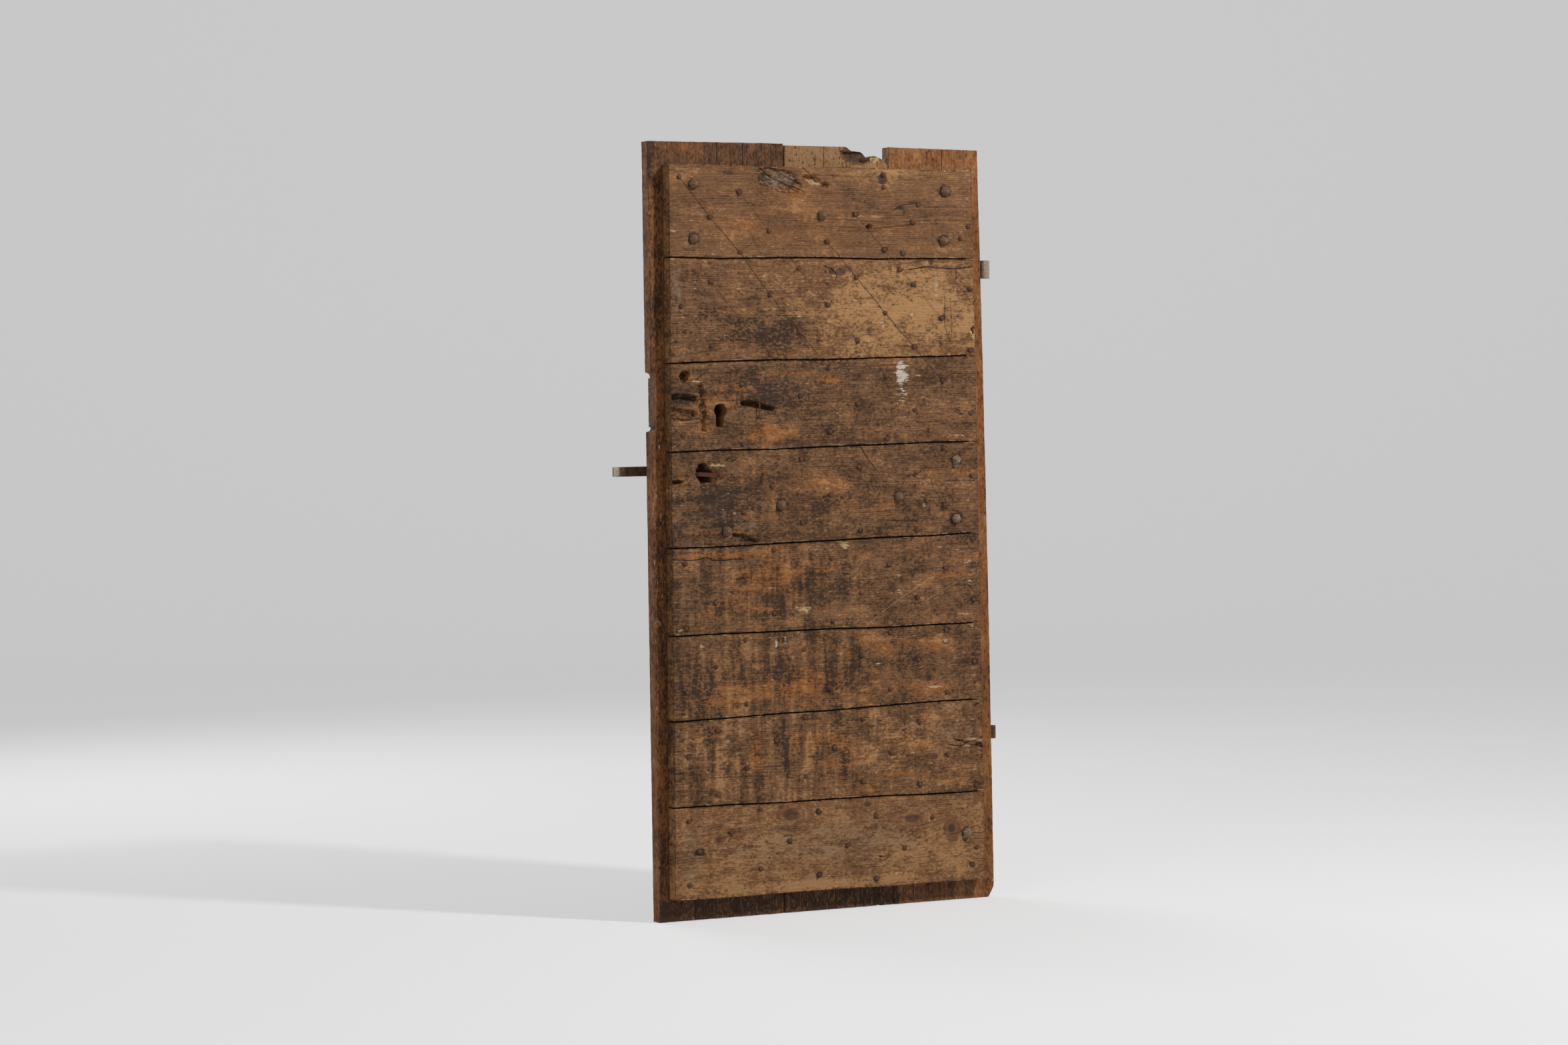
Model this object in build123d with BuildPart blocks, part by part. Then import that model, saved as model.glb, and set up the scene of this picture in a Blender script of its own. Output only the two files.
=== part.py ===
"""A weathered pine door leaf of two skins of planks, nailed through with wrought nails.

Eight boards lie across the front and three stand upright behind them, so that the grain crosses.
Three ledges, a wooden lock stock, two strap hinges and a sliding bolt are fixed to the back.
Sizes are millimetres. A place on the leaf is (across, up): across from the bolt-side edge, up
from the foot. In the tables, a negative across is measured back from the hinge-side edge and a
negative up is measured down from the head. Out is the height above the seam between the two
skins, towards the viewer.
"""
import math
import os

from build123d import *

# Leaf
LEAF_HEIGHT = 1750
LEAF_WIDTH = 868
EDGE_BOW = 9
HEAD_TAPER = 10
BOW_POWER = 1.7
BACK_THICKNESS = 34
FRONT_THICKNESS = 35
JOINT_GAP = 2.4
ARRIS = 2.5

# Front skin: it stands back from the leaf's edges and leaves a rebate all round
REBATE_BOLT_SIDE = 29
REBATE_HINGE_SIDE = 41
REBATE_HEAD = 54
REBATE_FOOT = 48
FRONT_SPLAY = 12
BOARD_SHARES = (209, 230, 200, 215, 203, 185, 205, 209)
JOINT_FALLS = (4, 0, -12, -14, -16, 1, -18, 6, 4)
JOINT_WANDER = (0, 1.2, -1.0, 0.8, 1.4, -1.2, 0.3)

# Back skin: its leaning joints as shares of the width at the head and the foot
MEETINGS = ((0.399, 0.367), (0.713, 0.696))
MEETING_GAP = 3
HEAD_STEP = 4
NOTCH_DEPTH = 12
NOTCH_HEIGHTS = (LEAF_HEIGHT - 649, LEAF_HEIGHT - 517)
NOTCH_CORNER = 9
CORNER_WEAR = (15, 26)
FOOT_SPLIT_INSET = 38
FOOT_SPLIT_HEIGHT = 62
FOOT_SPLIT_WIDTH = 7
ROTTED_KNOT = ((-108, -1), (-96, -10), (-70, -12), (-56, -26), (-34, -20), (-12, -29), (0, -43))

# Ledges
LEDGE_THICKNESS = 28
LEDGE_INSET = 46
LEDGE_CHAMFER = 6
LEDGES = {
    "ledge_top": (LEAF_HEIGHT - 250, LEAF_HEIGHT - 66),
    "ledge_middle": (LEAF_HEIGHT - 904, LEAF_HEIGHT - 704),
    "ledge_foot": (104, 214),
}

# Lock
KEYHOLE = (155, LEAF_HEIGHT - 604)
KEYHOLE_RADIUS = 15.5
KEY_SLOT_WIDTH = 19
KEY_SLOT_DROP = 37
KEY_SLOT_OFFSET = 2
KEY_POCKET = 24
STOCK_HEIGHTS = (LEAF_HEIGHT - 646, LEAF_HEIGHT - 522)
STOCK_LENGTH = 186
STOCK_THICKNESS = 44
STOCK_TAPER = 5
STOCK_INSET = 20
STOCK_NAIL_INSET = 20
STOCK_NAIL_BITE = 26

# Hinges
PINTLE_BORE = 7.0
EYE_WALL = 4.5
EYE_CLEARANCE = 1.0
EYE_SLIT = 1.0
STRAP_LENGTH = 455
STRAP_TIP_SHARE = 0.6
UPPER_STRAP_HEIGHT = LEAF_HEIGHT - 284
UPPER_STRAP_WIDTH = 42
LOWER_STRAP_HEIGHT = 384
LOWER_STRAP_WIDTH = 30
STRAP_NAILS = 5
STRAP_NAIL_FIRST = 59
STRAP_NAIL_LAST = 32
STRAP_NAIL_SHANK = 6
STRAP_NAIL_HEAD = 15
STRAP_NAIL_RISE = 4
STRAP_NAIL_LENGTH = 52

# Sliding bolt
BOLT_HEIGHT = LEAF_HEIGHT - 738
BOLT_WIDTH = 22
BOLT_THICKNESS = 9
BOLT_LENGTH = 372
BOLT_THROW = 66
BOLT_PLAY = 0.5
BOLT_NOSE_CHAMFER = 2.5
HANDLE_RISE = 34
HANDLE_WIDTH = 13
HANDLE_SHOULDER = 1
HANDLE_CORNER = 3
HANDLE_STOP_GAP = 1
KEEPER_WIDTH = 22
KEEPER_THICKNESS = 4
KEEPER_FOOT = 26
KEEPER_FIRST = 62
KEEPER_NAIL_SHANK = 5
KEEPER_NAIL_HEAD = 12
KEEPER_NAIL_RISE = 3
KEEPER_NAIL_LENGTH = 40

# Small nails, set out as a diamond lattice
SMALL_SHANK = 4.6
SMALL_HEAD = 11.5
SMALL_HEAD_RISE = 3.8
SMALL_TIP = 15
BLIND_COVER = 8
LATTICE_EDGE = 60
LATTICE_STEP = 75
LATTICE_HALF_ROW = 72
LATTICE_FIRST = 12
LATTICE_FALL = 17.5
LATTICE_RECOVER = 0.7
FOOT_BOARD_SHIFT = 44
NAIL_FROM_JOINT = 13
NAIL_FROM_LARGE = 34
NAIL_FROM_LATE = 16
NAIL_FROM_LOSS = 8
NAIL_FROM_FITTING = 10
NAIL_FROM_BOLT_END = 20
NAIL_FROM_HINGE_END = 12
NAIL_FROM_HEAD = 16
NAIL_FROM_FOOT = 18
LATE_NAILS = ((-283, -70), (-192, -138), (-235, -250), (-244, -288), (-80, -214), (-72, 84), (58, 88))

# Large nails with faceted heads, ledge by ledge: across, and up from the ledge's lower edge
LARGE_SHANK = 9
LARGE_HEAD = 23
LARGE_HEAD_RISE = 11
LARGE_SKIRT = 3
LARGE_TIP = 26
LARGE_NAILS = {
    "ledge_top": ((95, 153), (-121, 144), (423, 86), (93, 31), (-126, 30)),
    "ledge_middle": ((167, 29), (306, 84), (-255, 97), (-100, 178), (-102, 42)),
    "ledge_foot": ((-85, 55),),
}
STUBS = {"ledge_middle": ((113, 26),), "ledge_foot": ((86, 53),)}
STUB_HEAD = 13.5
STUB_RISE = 4
SPARE_NAIL = (424, 511)
SPARE_HEAD = 17
SPARE_RISE = 7
SPARE_SHANK = 6.5
HEAD_SLOPE_SHARE = 0.39
POINT_FLATNESS = 0.6
LEANING_NAIL = (112, LEAF_HEIGHT - 744)
LEANING_ANGLE = 52
LEANING_DROOP = 0.06
LEANING_SINK = 12
LEANING_REACH = 42
LEANING_BITE = 16

# Wire staples: the crown's middle, its turn and its length
STAPLES = (((251, -605), 90, 37), ((258, -757), 78, 21), ((-304, 119), 8, 24))
STAPLE_WIRE = 3.2
STAPLE_RISE = 5
STAPLE_LEG = 20

# Wood lost from the front face: a place, the outline about that place, and the depth
LOSS_TAPER = 12
LOSSES = {
    "gouge above the lock": ((64, -578), ((-44, 15), (8, 12), (32, 6), (26, -6), (-6, -10), (-44, -4)), 14),
    "gouge beside the lock": ((60, -604), ((-40, 12), (32, 0), (34, -14), (0, -24), (-40, -18)), 10),
    "worn hand recess": ((110, -590), ((-11, 43), (0, 46), (7, 10), (11, -30), (7, -60), (-4, -62)), 9),
    "slot at the staple": ((250, -597), ((-44, 13), (-18, 16), (42, 0), (40, -11), (-42, 3)), 15),
    "lost nail": ((66, -528), ((-14, 4), (-4, 14), (14, 10), (12, 0), (0, -16), (-10, -12)), 18),
    "broken hole": ((108, -746), ((-20, 0), (-10, 23), (4, 26), (22, 4), (24, -18), (-4, -22)), 26),
    "end split": ((50, -764), ((-28, 6), (0, 6), (16, 1), (0, -4), (-28, -6)), 12),
    "lower gouge": ((214, -892), ((-38, 12), (-8, 10), (36, -6), (32, -13), (-8, -8)), 9),
    "rotted knot": ((316, -90), ((-58, 30), (-16, 34), (36, 22), (56, -10), (36, -36), (-54, -8)), 5),
    "fresh gouge": ((404, -88), ((-34, 14), (2, 12), (42, -6), (36, -14), (-6, -6)), 8),
    "worm hole": ((-322, -189), ((-10, 1), (0, 8), (12, 1), (2, -7)), 16),
    "broken knot": ((-40, -432), ((-16, 8), (-2, 20), (22, 18), (22, -20), (0, -18)), 20),
    "hinge-side split": ((-68, 366), ((-56, 14), (-10, 8), (50, 0), (50, -14), (0, -8)), 12),
}

# The hinge axis, and the leaf's place about it
EYE_RADIUS = PINTLE_BORE + EYE_WALL
HINGE_ACROSS = LEAF_WIDTH + EDGE_BOW + EYE_CLEARANCE + EYE_RADIUS
HINGE_OUT = -(BACK_THICKNESS + EYE_WALL - EYE_RADIUS)
EYE_FOOT = LOWER_STRAP_HEIGHT - LOWER_STRAP_WIDTH / 2
THROUGH = FRONT_THICKNESS + BACK_THICKNESS
BLIND = THROUGH - BLIND_COVER

# The seam between the skins: x runs across, y runs up, and the normal faces the viewer
SEAM = Plane(origin=(-HINGE_ACROSS, HINGE_OUT, -EYE_FOOT), x_dir=(1, 0, 0), z_dir=(0, -1, 0))
FRONT_FACE = SEAM.offset(FRONT_THICKNESS)
BACK_FACE = SEAM.offset(-BACK_THICKNESS)
LEDGE_FACE = SEAM.offset(-BACK_THICKNESS - LEDGE_THICKNESS)
STRAP_FACE = SEAM.offset(-BACK_THICKNESS - EYE_WALL)
KEEPER_FACE = LEDGE_FACE.offset(-KEEPER_THICKNESS)
STOCK_FACE = SEAM.offset(-BACK_THICKNESS - STOCK_THICKNESS)

STRAPS = {
    "hinge_strap_upper": (UPPER_STRAP_HEIGHT, UPPER_STRAP_WIDTH),
    "hinge_strap_lower": (LOWER_STRAP_HEIGHT, LOWER_STRAP_WIDTH),
}

os.makedirs("parts", exist_ok=True)


def save(part, name):
    """Label a finished sub-part and write it."""
    part.label = name
    export_step(part, f"parts/{name}.step")


def placed(across, up, base=0):
    """A place from the tables, measured from the bolt-side edge and the foot."""
    if across < 0:
        across += LEAF_WIDTH
    if up < 0:
        up += LEAF_HEIGHT
    return across, base + up


def on_ledges(table):
    """Places of the nails that a table gives ledge by ledge."""
    return [placed(*spot, LEDGES[ledge][0]) for ledge, spots in table.items() for spot in spots]


def hinge_edge(up):
    """Across position of the leaf's hinge-side edge, which bows out towards the foot."""
    share = up / LEAF_HEIGHT
    return LEAF_WIDTH - HEAD_TAPER + (EDGE_BOW + HEAD_TAPER) * (1 - share**BOW_POWER)


def front_ends(up):
    """Across positions of the front skin's two ends, which splay towards the foot."""
    half = FRONT_SPLAY * (0.5 - up / LEAF_HEIGHT)
    return REBATE_BOLT_SIDE - half, LEAF_WIDTH - REBATE_HINGE_SIDE + half


def joint_levels():
    """Heights of the front boards' edges from the head to the foot, at mid width."""
    scale = (LEAF_HEIGHT - REBATE_HEAD - REBATE_FOOT) / sum(BOARD_SHARES)
    levels = [LEAF_HEIGHT - REBATE_HEAD]
    for share in BOARD_SHARES:
        levels.append(levels[-1] - share * scale)
    return levels


LEVELS = joint_levels()
FOOT_BOARD = len(BOARD_SHARES) - 1


def level_at(index, across):
    """Height of front joint number index at a place across the leaf."""
    return LEVELS[index] + JOINT_FALLS[index] * (0.5 - across / LEAF_WIDTH)


def joint_line(index, lift):
    """Points along a front joint from the bolt side to the hinge side, moved up by lift."""
    left, right = front_ends(LEVELS[index])
    count = len(JOINT_WANDER)
    points = []
    for step in range(count):
        across = left + (right - left) * step / (count - 1)
        drift = JOINT_WANDER[(step + index) % count]
        points.append((across, level_at(index, across) + drift + lift))
    return points


def board_at(across, up):
    """Number of the front board, from 0 at the head, that holds a place."""
    for index in range(FOOT_BOARD):
        if up >= level_at(index + 1, across):
            return index
    return FOOT_BOARD


def meeting_at(index, up):
    """Across position of an upright joint in the back skin, which leans."""
    head, foot = MEETINGS[index]
    return LEAF_WIDTH * (foot + (head - foot) * up / LEAF_HEIGHT)


def covered(across, up):
    """True where something is fixed over the back, so that no nail point shows."""
    reach = SMALL_TIP + NAIL_FROM_FITTING
    for foot, head in LEDGES.values():
        if foot - reach < up < head + NAIL_FROM_FITTING:
            return True
    stock_foot, stock_head = STOCK_HEIGHTS
    if across < STOCK_LENGTH + STOCK_INSET + NAIL_FROM_FITTING:
        if stock_foot - reach < up < stock_head + NAIL_FROM_FITTING:
            return True
    for height, width in STRAPS.values():
        near = HINGE_ACROSS - STRAP_LENGTH - NAIL_FROM_FITTING < across
        if near and -width / 2 - reach < up - height < width / 2 + NAIL_FROM_FITTING:
            return True
    return False


def lattice():
    """Places of the small nails: a diamond lattice whose rows fall towards the hinge side."""
    places = []
    columns = int((LEAF_WIDTH - 2 * LATTICE_EDGE) / LATTICE_STEP) + 2
    rows = int(LEAF_HEIGHT / LATTICE_HALF_ROW) + 1
    for column in range(columns):
        base = LATTICE_FIRST - LATTICE_FALL * column + LATTICE_RECOVER * column**2
        for row in range(rows):
            if (row + column) % 2 == 0:
                continue
            across = LATTICE_EDGE + LATTICE_STEP * column
            up = base + LATTICE_HALF_ROW * row
            if up < level_at(FOOT_BOARD, across) and 0 < column < columns - 1:
                across -= FOOT_BOARD_SHIFT
            places.append((across, up))
    return places


def settle(across, up):
    """Move a nail clear of the joint between two front boards."""
    for index in range(len(LEVELS)):
        above = up - level_at(index, across)
        if abs(above) < NAIL_FROM_JOINT:
            return across, up + math.copysign(NAIL_FROM_JOINT, above) - above
    return across, up


LARGE_PLACES = on_ledges(LARGE_NAILS)
STUB_PLACES = on_ledges(STUBS)
SPOTS_TAKEN = LARGE_PLACES + STUB_PLACES + [SPARE_NAIL, LEANING_NAIL]


def lost_reach(outline):
    """Distance from the middle of a lost piece of wood to its farthest corner."""
    return max(math.hypot(*corner) for corner in outline)


def clear_of_fittings(across, up):
    """True where a small nail stands clear of large nails, lost wood, lock and leaf edges."""
    left, right = front_ends(up)
    if not left + NAIL_FROM_BOLT_END < across < right - NAIL_FROM_HINGE_END:
        return False
    if not LEVELS[-1] + NAIL_FROM_FOOT < up < LEVELS[0] - NAIL_FROM_HEAD:
        return False
    if math.dist(KEYHOLE, (across, up)) < KEYHOLE_RADIUS + KEY_SLOT_DROP:
        return False
    if any(math.dist(large, (across, up)) < NAIL_FROM_LARGE for large in SPOTS_TAKEN):
        return False
    return not any(
        math.dist(placed(*spot), (across, up)) < lost_reach(outline) + NAIL_FROM_LOSS
        for spot, outline, _ in LOSSES.values()
    )


def small_nail_places():
    """The lattice without the nails that something displaces, and a few later nails."""
    places = [settle(*place) for place in lattice()]
    places = [place for place in places if clear_of_fittings(*place)]
    for spot in LATE_NAILS:
        late = placed(*spot)
        if all(math.dist(late, other) > NAIL_FROM_LATE for other in places):
            places.append(late)
    return places


SMALL_NAILS = small_nail_places()
CLENCHED_NAILS = [place for place in SMALL_NAILS if not covered(*place)]
BLIND_NAILS = [place for place in SMALL_NAILS if covered(*place)]


def square_pins(face, places, size, depth):
    """Square pins from a face into the leaf, which are also the nails' holes."""
    with BuildPart() as pins:
        with BuildSketch(face):
            with Locations(*places):
                Rectangle(size, size)
        extrude(amount=-depth)
    return pins.part


def keeper_centres():
    """Across positions of the bolt's two keepers, with the handle's travel between them."""
    span = KEEPER_WIDTH + HANDLE_WIDTH + BOLT_THROW + 2 * HANDLE_STOP_GAP
    return KEEPER_FIRST, KEEPER_FIRST + span


def strap_nail_places():
    """Places of the nails along both hinge straps."""
    first = HINGE_ACROSS - STRAP_NAIL_FIRST
    step = (STRAP_LENGTH - STRAP_NAIL_FIRST - STRAP_NAIL_LAST) / (STRAP_NAILS - 1)
    return [(first - step * index, height) for height, _ in STRAPS.values() for index in range(STRAP_NAILS)]


def stock_nail_places():
    """Places of the nails in the lock stock's four corners."""
    sides = (STOCK_INSET + STOCK_NAIL_INSET, STOCK_INSET + STOCK_LENGTH - STOCK_NAIL_INSET)
    heights = (STOCK_HEIGHTS[0] + STOCK_NAIL_INSET, STOCK_HEIGHTS[1] - STOCK_NAIL_INSET)
    return [(across, up) for across in sides for up in heights]


KEEPERS = keeper_centres()
KEEPER_REACH = BOLT_WIDTH / 2 + BOLT_PLAY + KEEPER_THICKNESS + KEEPER_FOOT / 2
KEEPER_NAILS = [(across, BOLT_HEIGHT + side * KEEPER_REACH) for across in KEEPERS for side in (-1, 1)]
STRAP_NAIL_PLACES = strap_nail_places()
STOCK_NAILS = stock_nail_places()
STOCK_NAIL_LENGTH = STOCK_THICKNESS + STOCK_NAIL_BITE

SMALL_HOLES = square_pins(FRONT_FACE, CLENCHED_NAILS, SMALL_SHANK, THROUGH)
BLIND_HOLES = square_pins(FRONT_FACE, BLIND_NAILS, SMALL_SHANK, BLIND)
LARGE_HOLES = square_pins(FRONT_FACE, LARGE_PLACES + STUB_PLACES, LARGE_SHANK, THROUGH + LEDGE_THICKNESS)
SPARE_HOLE = square_pins(FRONT_FACE, [SPARE_NAIL], SPARE_SHANK, BLIND)
STRAP_HOLES = square_pins(STRAP_FACE, STRAP_NAIL_PLACES, STRAP_NAIL_SHANK, -STRAP_NAIL_LENGTH)
STOCK_HOLES = square_pins(STOCK_FACE, STOCK_NAILS, KEEPER_NAIL_SHANK, -STOCK_NAIL_LENGTH)
KEEPER_HOLES = square_pins(KEEPER_FACE, KEEPER_NAILS, KEEPER_NAIL_SHANK, -KEEPER_NAIL_LENGTH)


def keyhole_prism(depth):
    """The keyhole as one prism from the front face: a round hole with a slot below it."""
    slot_middle = (KEYHOLE[0] - KEY_SLOT_OFFSET, KEYHOLE[1] - KEY_SLOT_DROP / 2)
    with BuildPart() as prism:
        with BuildSketch(FRONT_FACE):
            with Locations(KEYHOLE):
                Circle(KEYHOLE_RADIUS)
            with Locations(slot_middle):
                Rectangle(KEY_SLOT_WIDTH, KEY_SLOT_DROP)
        extrude(amount=-depth)
    return prism.part


def leaning_plane():
    """Plane across the leaning nail where it leaves the broken hole."""
    lean = math.radians(LEANING_ANGLE)
    spot = FRONT_FACE.offset(-LEANING_SINK).from_local_coords((*LEANING_NAIL, 0))
    return Plane(origin=spot, z_dir=(math.sin(lean), -math.cos(lean), -LEANING_DROOP))


def leaning_pin():
    """The leaning nail's whole shank, which is also its way through the board."""
    with BuildPart() as pin:
        with BuildSketch(leaning_plane().offset(-LEANING_BITE)):
            Rectangle(LARGE_SHANK, LARGE_SHANK)
        extrude(amount=LEANING_BITE + LEANING_REACH)
    return pin.part


def staple_legs():
    """The staples' legs as square pins, which are also their holes."""
    with BuildPart() as legs:
        for spot, turn, crown in STAPLES:
            with BuildSketch(FRONT_FACE.offset(STAPLE_RISE)):
                with Locations(Location((*placed(*spot), 0), (0, 0, turn))):
                    with GridLocations(crown - STAPLE_WIRE, 1, 2, 1):
                        Rectangle(STAPLE_WIRE, STAPLE_WIRE)
            extrude(amount=-STAPLE_RISE - STAPLE_LEG)
    return legs.part


STAPLE_LEGS = staple_legs()

# Front skin: each board is its outline between two joints, then holes and lost wood
for number in range(len(BOARD_SHARES)):
    upper = joint_line(number, -JOINT_GAP / 2)
    lower = joint_line(number + 1, JOINT_GAP / 2)
    with BuildPart() as board:
        with BuildSketch(SEAM):
            with BuildLine():
                Polyline(*upper, *reversed(lower), close=True)
            make_face()
        extrude(amount=FRONT_THICKNESS)
        chamfer(board.faces().sort_by(Axis.Y)[0].edges(), ARRIS)
        for spot, outline, depth in LOSSES.values():
            across, up = placed(*spot)
            reach = lost_reach(outline)
            if LEVELS[number] + reach > up > LEVELS[number + 1] - reach:
                with BuildSketch(FRONT_FACE):
                    with BuildLine():
                        Polyline(*[(across + x, up + y) for x, y in outline], close=True)
                    make_face()
                extrude(amount=-depth, taper=LOSS_TAPER, mode=Mode.SUBTRACT)
        for holes in (SMALL_HOLES, BLIND_HOLES, LARGE_HOLES, SPARE_HOLE, STRAP_HOLES, STAPLE_LEGS):
            add(holes, mode=Mode.SUBTRACT)
        if board_at(*KEYHOLE) == number:
            add(keyhole_prism(THROUGH), mode=Mode.SUBTRACT)
        if board_at(*LEANING_NAIL) == number:
            add(leaning_pin(), mode=Mode.SUBTRACT)
    save(board.part, f"front_board_{number + 1}")


# Back skin: three upright boards with leaning joints
def bolt_board_outline():
    """Outline of the bolt-side board before its notch is cut."""
    head = (meeting_at(0, LEAF_HEIGHT) - MEETING_GAP / 2, LEAF_HEIGHT)
    foot = (meeting_at(0, 0) - MEETING_GAP / 2, 0)
    return [(0, 0), (0, LEAF_HEIGHT), head, foot]


def middle_board_outline():
    """Outline of the middle board, rotted at a knot by its head and split at its foot."""
    top = LEAF_HEIGHT - HEAD_STEP
    head = meeting_at(1, LEAF_HEIGHT) - MEETING_GAP / 2
    foot = meeting_at(1, 0) - MEETING_GAP / 2
    split = foot - FOOT_SPLIT_INSET
    return [
        (meeting_at(0, 0) + MEETING_GAP / 2, 0),
        (meeting_at(0, LEAF_HEIGHT) + MEETING_GAP / 2, top),
        *[(head + x, top + y) for x, y in ROTTED_KNOT],
        (foot, 0),
        (split + FOOT_SPLIT_WIDTH / 2, 0),
        (split, FOOT_SPLIT_HEIGHT),
        (split - FOOT_SPLIT_WIDTH / 2, 0),
    ]


def hinge_board_outline():
    """Outline of the hinge-side board, with its bowed edge and worn lower corner."""
    steps = 7
    bow = [(hinge_edge(LEAF_HEIGHT * i / steps), LEAF_HEIGHT * i / steps) for i in range(1, steps)]
    wear_across, wear_up = CORNER_WEAR
    return [
        (meeting_at(1, 0) + MEETING_GAP / 2, 0),
        (hinge_edge(0) - wear_across, 0),
        (hinge_edge(wear_up), wear_up),
        *bow,
        (hinge_edge(LEAF_HEIGHT), LEAF_HEIGHT - 2 * HEAD_STEP),
        (meeting_at(1, LEAF_HEIGHT) + MEETING_GAP / 2, LEAF_HEIGHT - HEAD_STEP),
    ]


BACK_BOARDS = {
    "back_board_bolt_side": bolt_board_outline(),
    "back_board_middle": middle_board_outline(),
    "back_board_hinge_side": hinge_board_outline(),
}
NOTCH_HEIGHT = NOTCH_HEIGHTS[1] - NOTCH_HEIGHTS[0]
for name, outline in BACK_BOARDS.items():
    with BuildPart() as board:
        with BuildSketch(SEAM):
            with BuildLine():
                Polyline(*outline, close=True)
            make_face()
            with Locations((0, sum(NOTCH_HEIGHTS) / 2)):
                RectangleRounded(2 * NOTCH_DEPTH, NOTCH_HEIGHT, NOTCH_CORNER, mode=Mode.SUBTRACT)
        extrude(amount=-BACK_THICKNESS)
        chamfer(board.faces().sort_by(Axis.Y)[-1].edges().filter_by(GeomType.LINE), ARRIS)
        for holes in (SMALL_HOLES, BLIND_HOLES, LARGE_HOLES, SPARE_HOLE):
            add(holes, mode=Mode.SUBTRACT)
        for holes in (STRAP_HOLES, STOCK_HOLES, KEEPER_HOLES):
            add(holes, mode=Mode.SUBTRACT)
        add(keyhole_prism(THROUGH), mode=Mode.SUBTRACT)
    save(board.part, name)

# Ledges: planed battens with chamfered long edges
for name, (foot, head) in LEDGES.items():
    with BuildPart() as ledge:
        with BuildSketch(BACK_FACE):
            with Locations((LEAF_WIDTH / 2, (foot + head) / 2)):
                Rectangle(LEAF_WIDTH - 2 * LEDGE_INSET, head - foot)
        extrude(amount=-LEDGE_THICKNESS)
        chamfer(ledge.faces().sort_by(Axis.Y)[-1].edges().filter_by(Axis.X), LEDGE_CHAMFER)
        add(LARGE_HOLES, mode=Mode.SUBTRACT)
        add(KEEPER_HOLES, mode=Mode.SUBTRACT)
    save(ledge.part, name)

# Lock stock: a block behind the keyhole, narrowing to the rear, seen through the leaf's notch
with BuildPart() as stock:
    with BuildSketch(BACK_FACE):
        with Locations((STOCK_INSET + STOCK_LENGTH / 2, sum(STOCK_HEIGHTS) / 2)):
            Rectangle(STOCK_LENGTH, STOCK_HEIGHTS[1] - STOCK_HEIGHTS[0])
    extrude(amount=-STOCK_THICKNESS, taper=STOCK_TAPER)
    chamfer(stock.faces().sort_by(Axis.Y)[-1].edges(), LEDGE_CHAMFER)
    add(keyhole_prism(THROUGH + KEY_POCKET), mode=Mode.SUBTRACT)
    add(STOCK_HOLES, mode=Mode.SUBTRACT)
save(stock.part, "lock_stock")


def wrought_nail(head, rise, shank, depth, point=0, skirt=0):
    """A hand-forged nail in its own frame: faceted head above zero, square shank below it."""
    with BuildPart() as nail:
        if skirt:
            with BuildSketch():
                Rectangle(head, head)
            extrude(amount=skirt)
        with BuildSketch(Plane.XY.offset(skirt)):
            Rectangle(head, head)
        extrude(amount=rise, taper=math.degrees(math.atan(head * HEAD_SLOPE_SHARE / rise)))
        with BuildSketch():
            Rectangle(shank, shank)
        extrude(amount=-depth)
        if point:
            with BuildSketch(Plane.XY.offset(-depth)):
                with Locations((0, point / 2 - shank / 2)):
                    Rectangle(shank, point)
            extrude(amount=-shank * POINT_FLATNESS)
    return nail.part


# Small nails: those that nothing covers come out at the back, where their points are clenched
with BuildPart(FRONT_FACE) as lattice_nails:
    with Locations(*CLENCHED_NAILS):
        add(wrought_nail(SMALL_HEAD, SMALL_HEAD_RISE, SMALL_SHANK, THROUGH, SMALL_TIP))
    with Locations(*BLIND_NAILS):
        add(wrought_nail(SMALL_HEAD, SMALL_HEAD_RISE, SMALL_SHANK, BLIND))
save(lattice_nails.part, "lattice_nails")

# Large nails, two of them rusted down to stubs, and one of middling size
LEDGE_DEPTH = THROUGH + LEDGE_THICKNESS
with BuildPart(FRONT_FACE) as large_nails:
    with Locations(*LARGE_PLACES):
        add(wrought_nail(LARGE_HEAD, LARGE_HEAD_RISE, LARGE_SHANK, LEDGE_DEPTH, LARGE_TIP, LARGE_SKIRT))
    with Locations(*STUB_PLACES):
        add(wrought_nail(STUB_HEAD, STUB_RISE, LARGE_SHANK, LEDGE_DEPTH, LARGE_TIP))
    with Locations(SPARE_NAIL):
        add(wrought_nail(SPARE_HEAD, SPARE_RISE, SPARE_SHANK, BLIND))
save(large_nails.part, "large_nails")

# The leaning nail, half drawn out of its broken hole
LEANING_LENGTH = LEANING_REACH + LEANING_BITE
with BuildPart(leaning_plane().offset(LEANING_REACH)) as leaning_nail:
    add(wrought_nail(LARGE_HEAD, LARGE_HEAD_RISE, LARGE_SHANK, LEANING_LENGTH, skirt=LARGE_SKIRT))
save(leaning_nail.part, "leaning_nail")

# Staples
with BuildPart() as staples:
    add(STAPLE_LEGS)
    for spot, turn, crown in STAPLES:
        with BuildSketch(FRONT_FACE.offset(STAPLE_RISE)):
            with Locations(placed(*spot)):
                Rectangle(crown, STAPLE_WIRE, rotation=turn)
        extrude(amount=STAPLE_WIRE)
save(staples.part, "staples")

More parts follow.
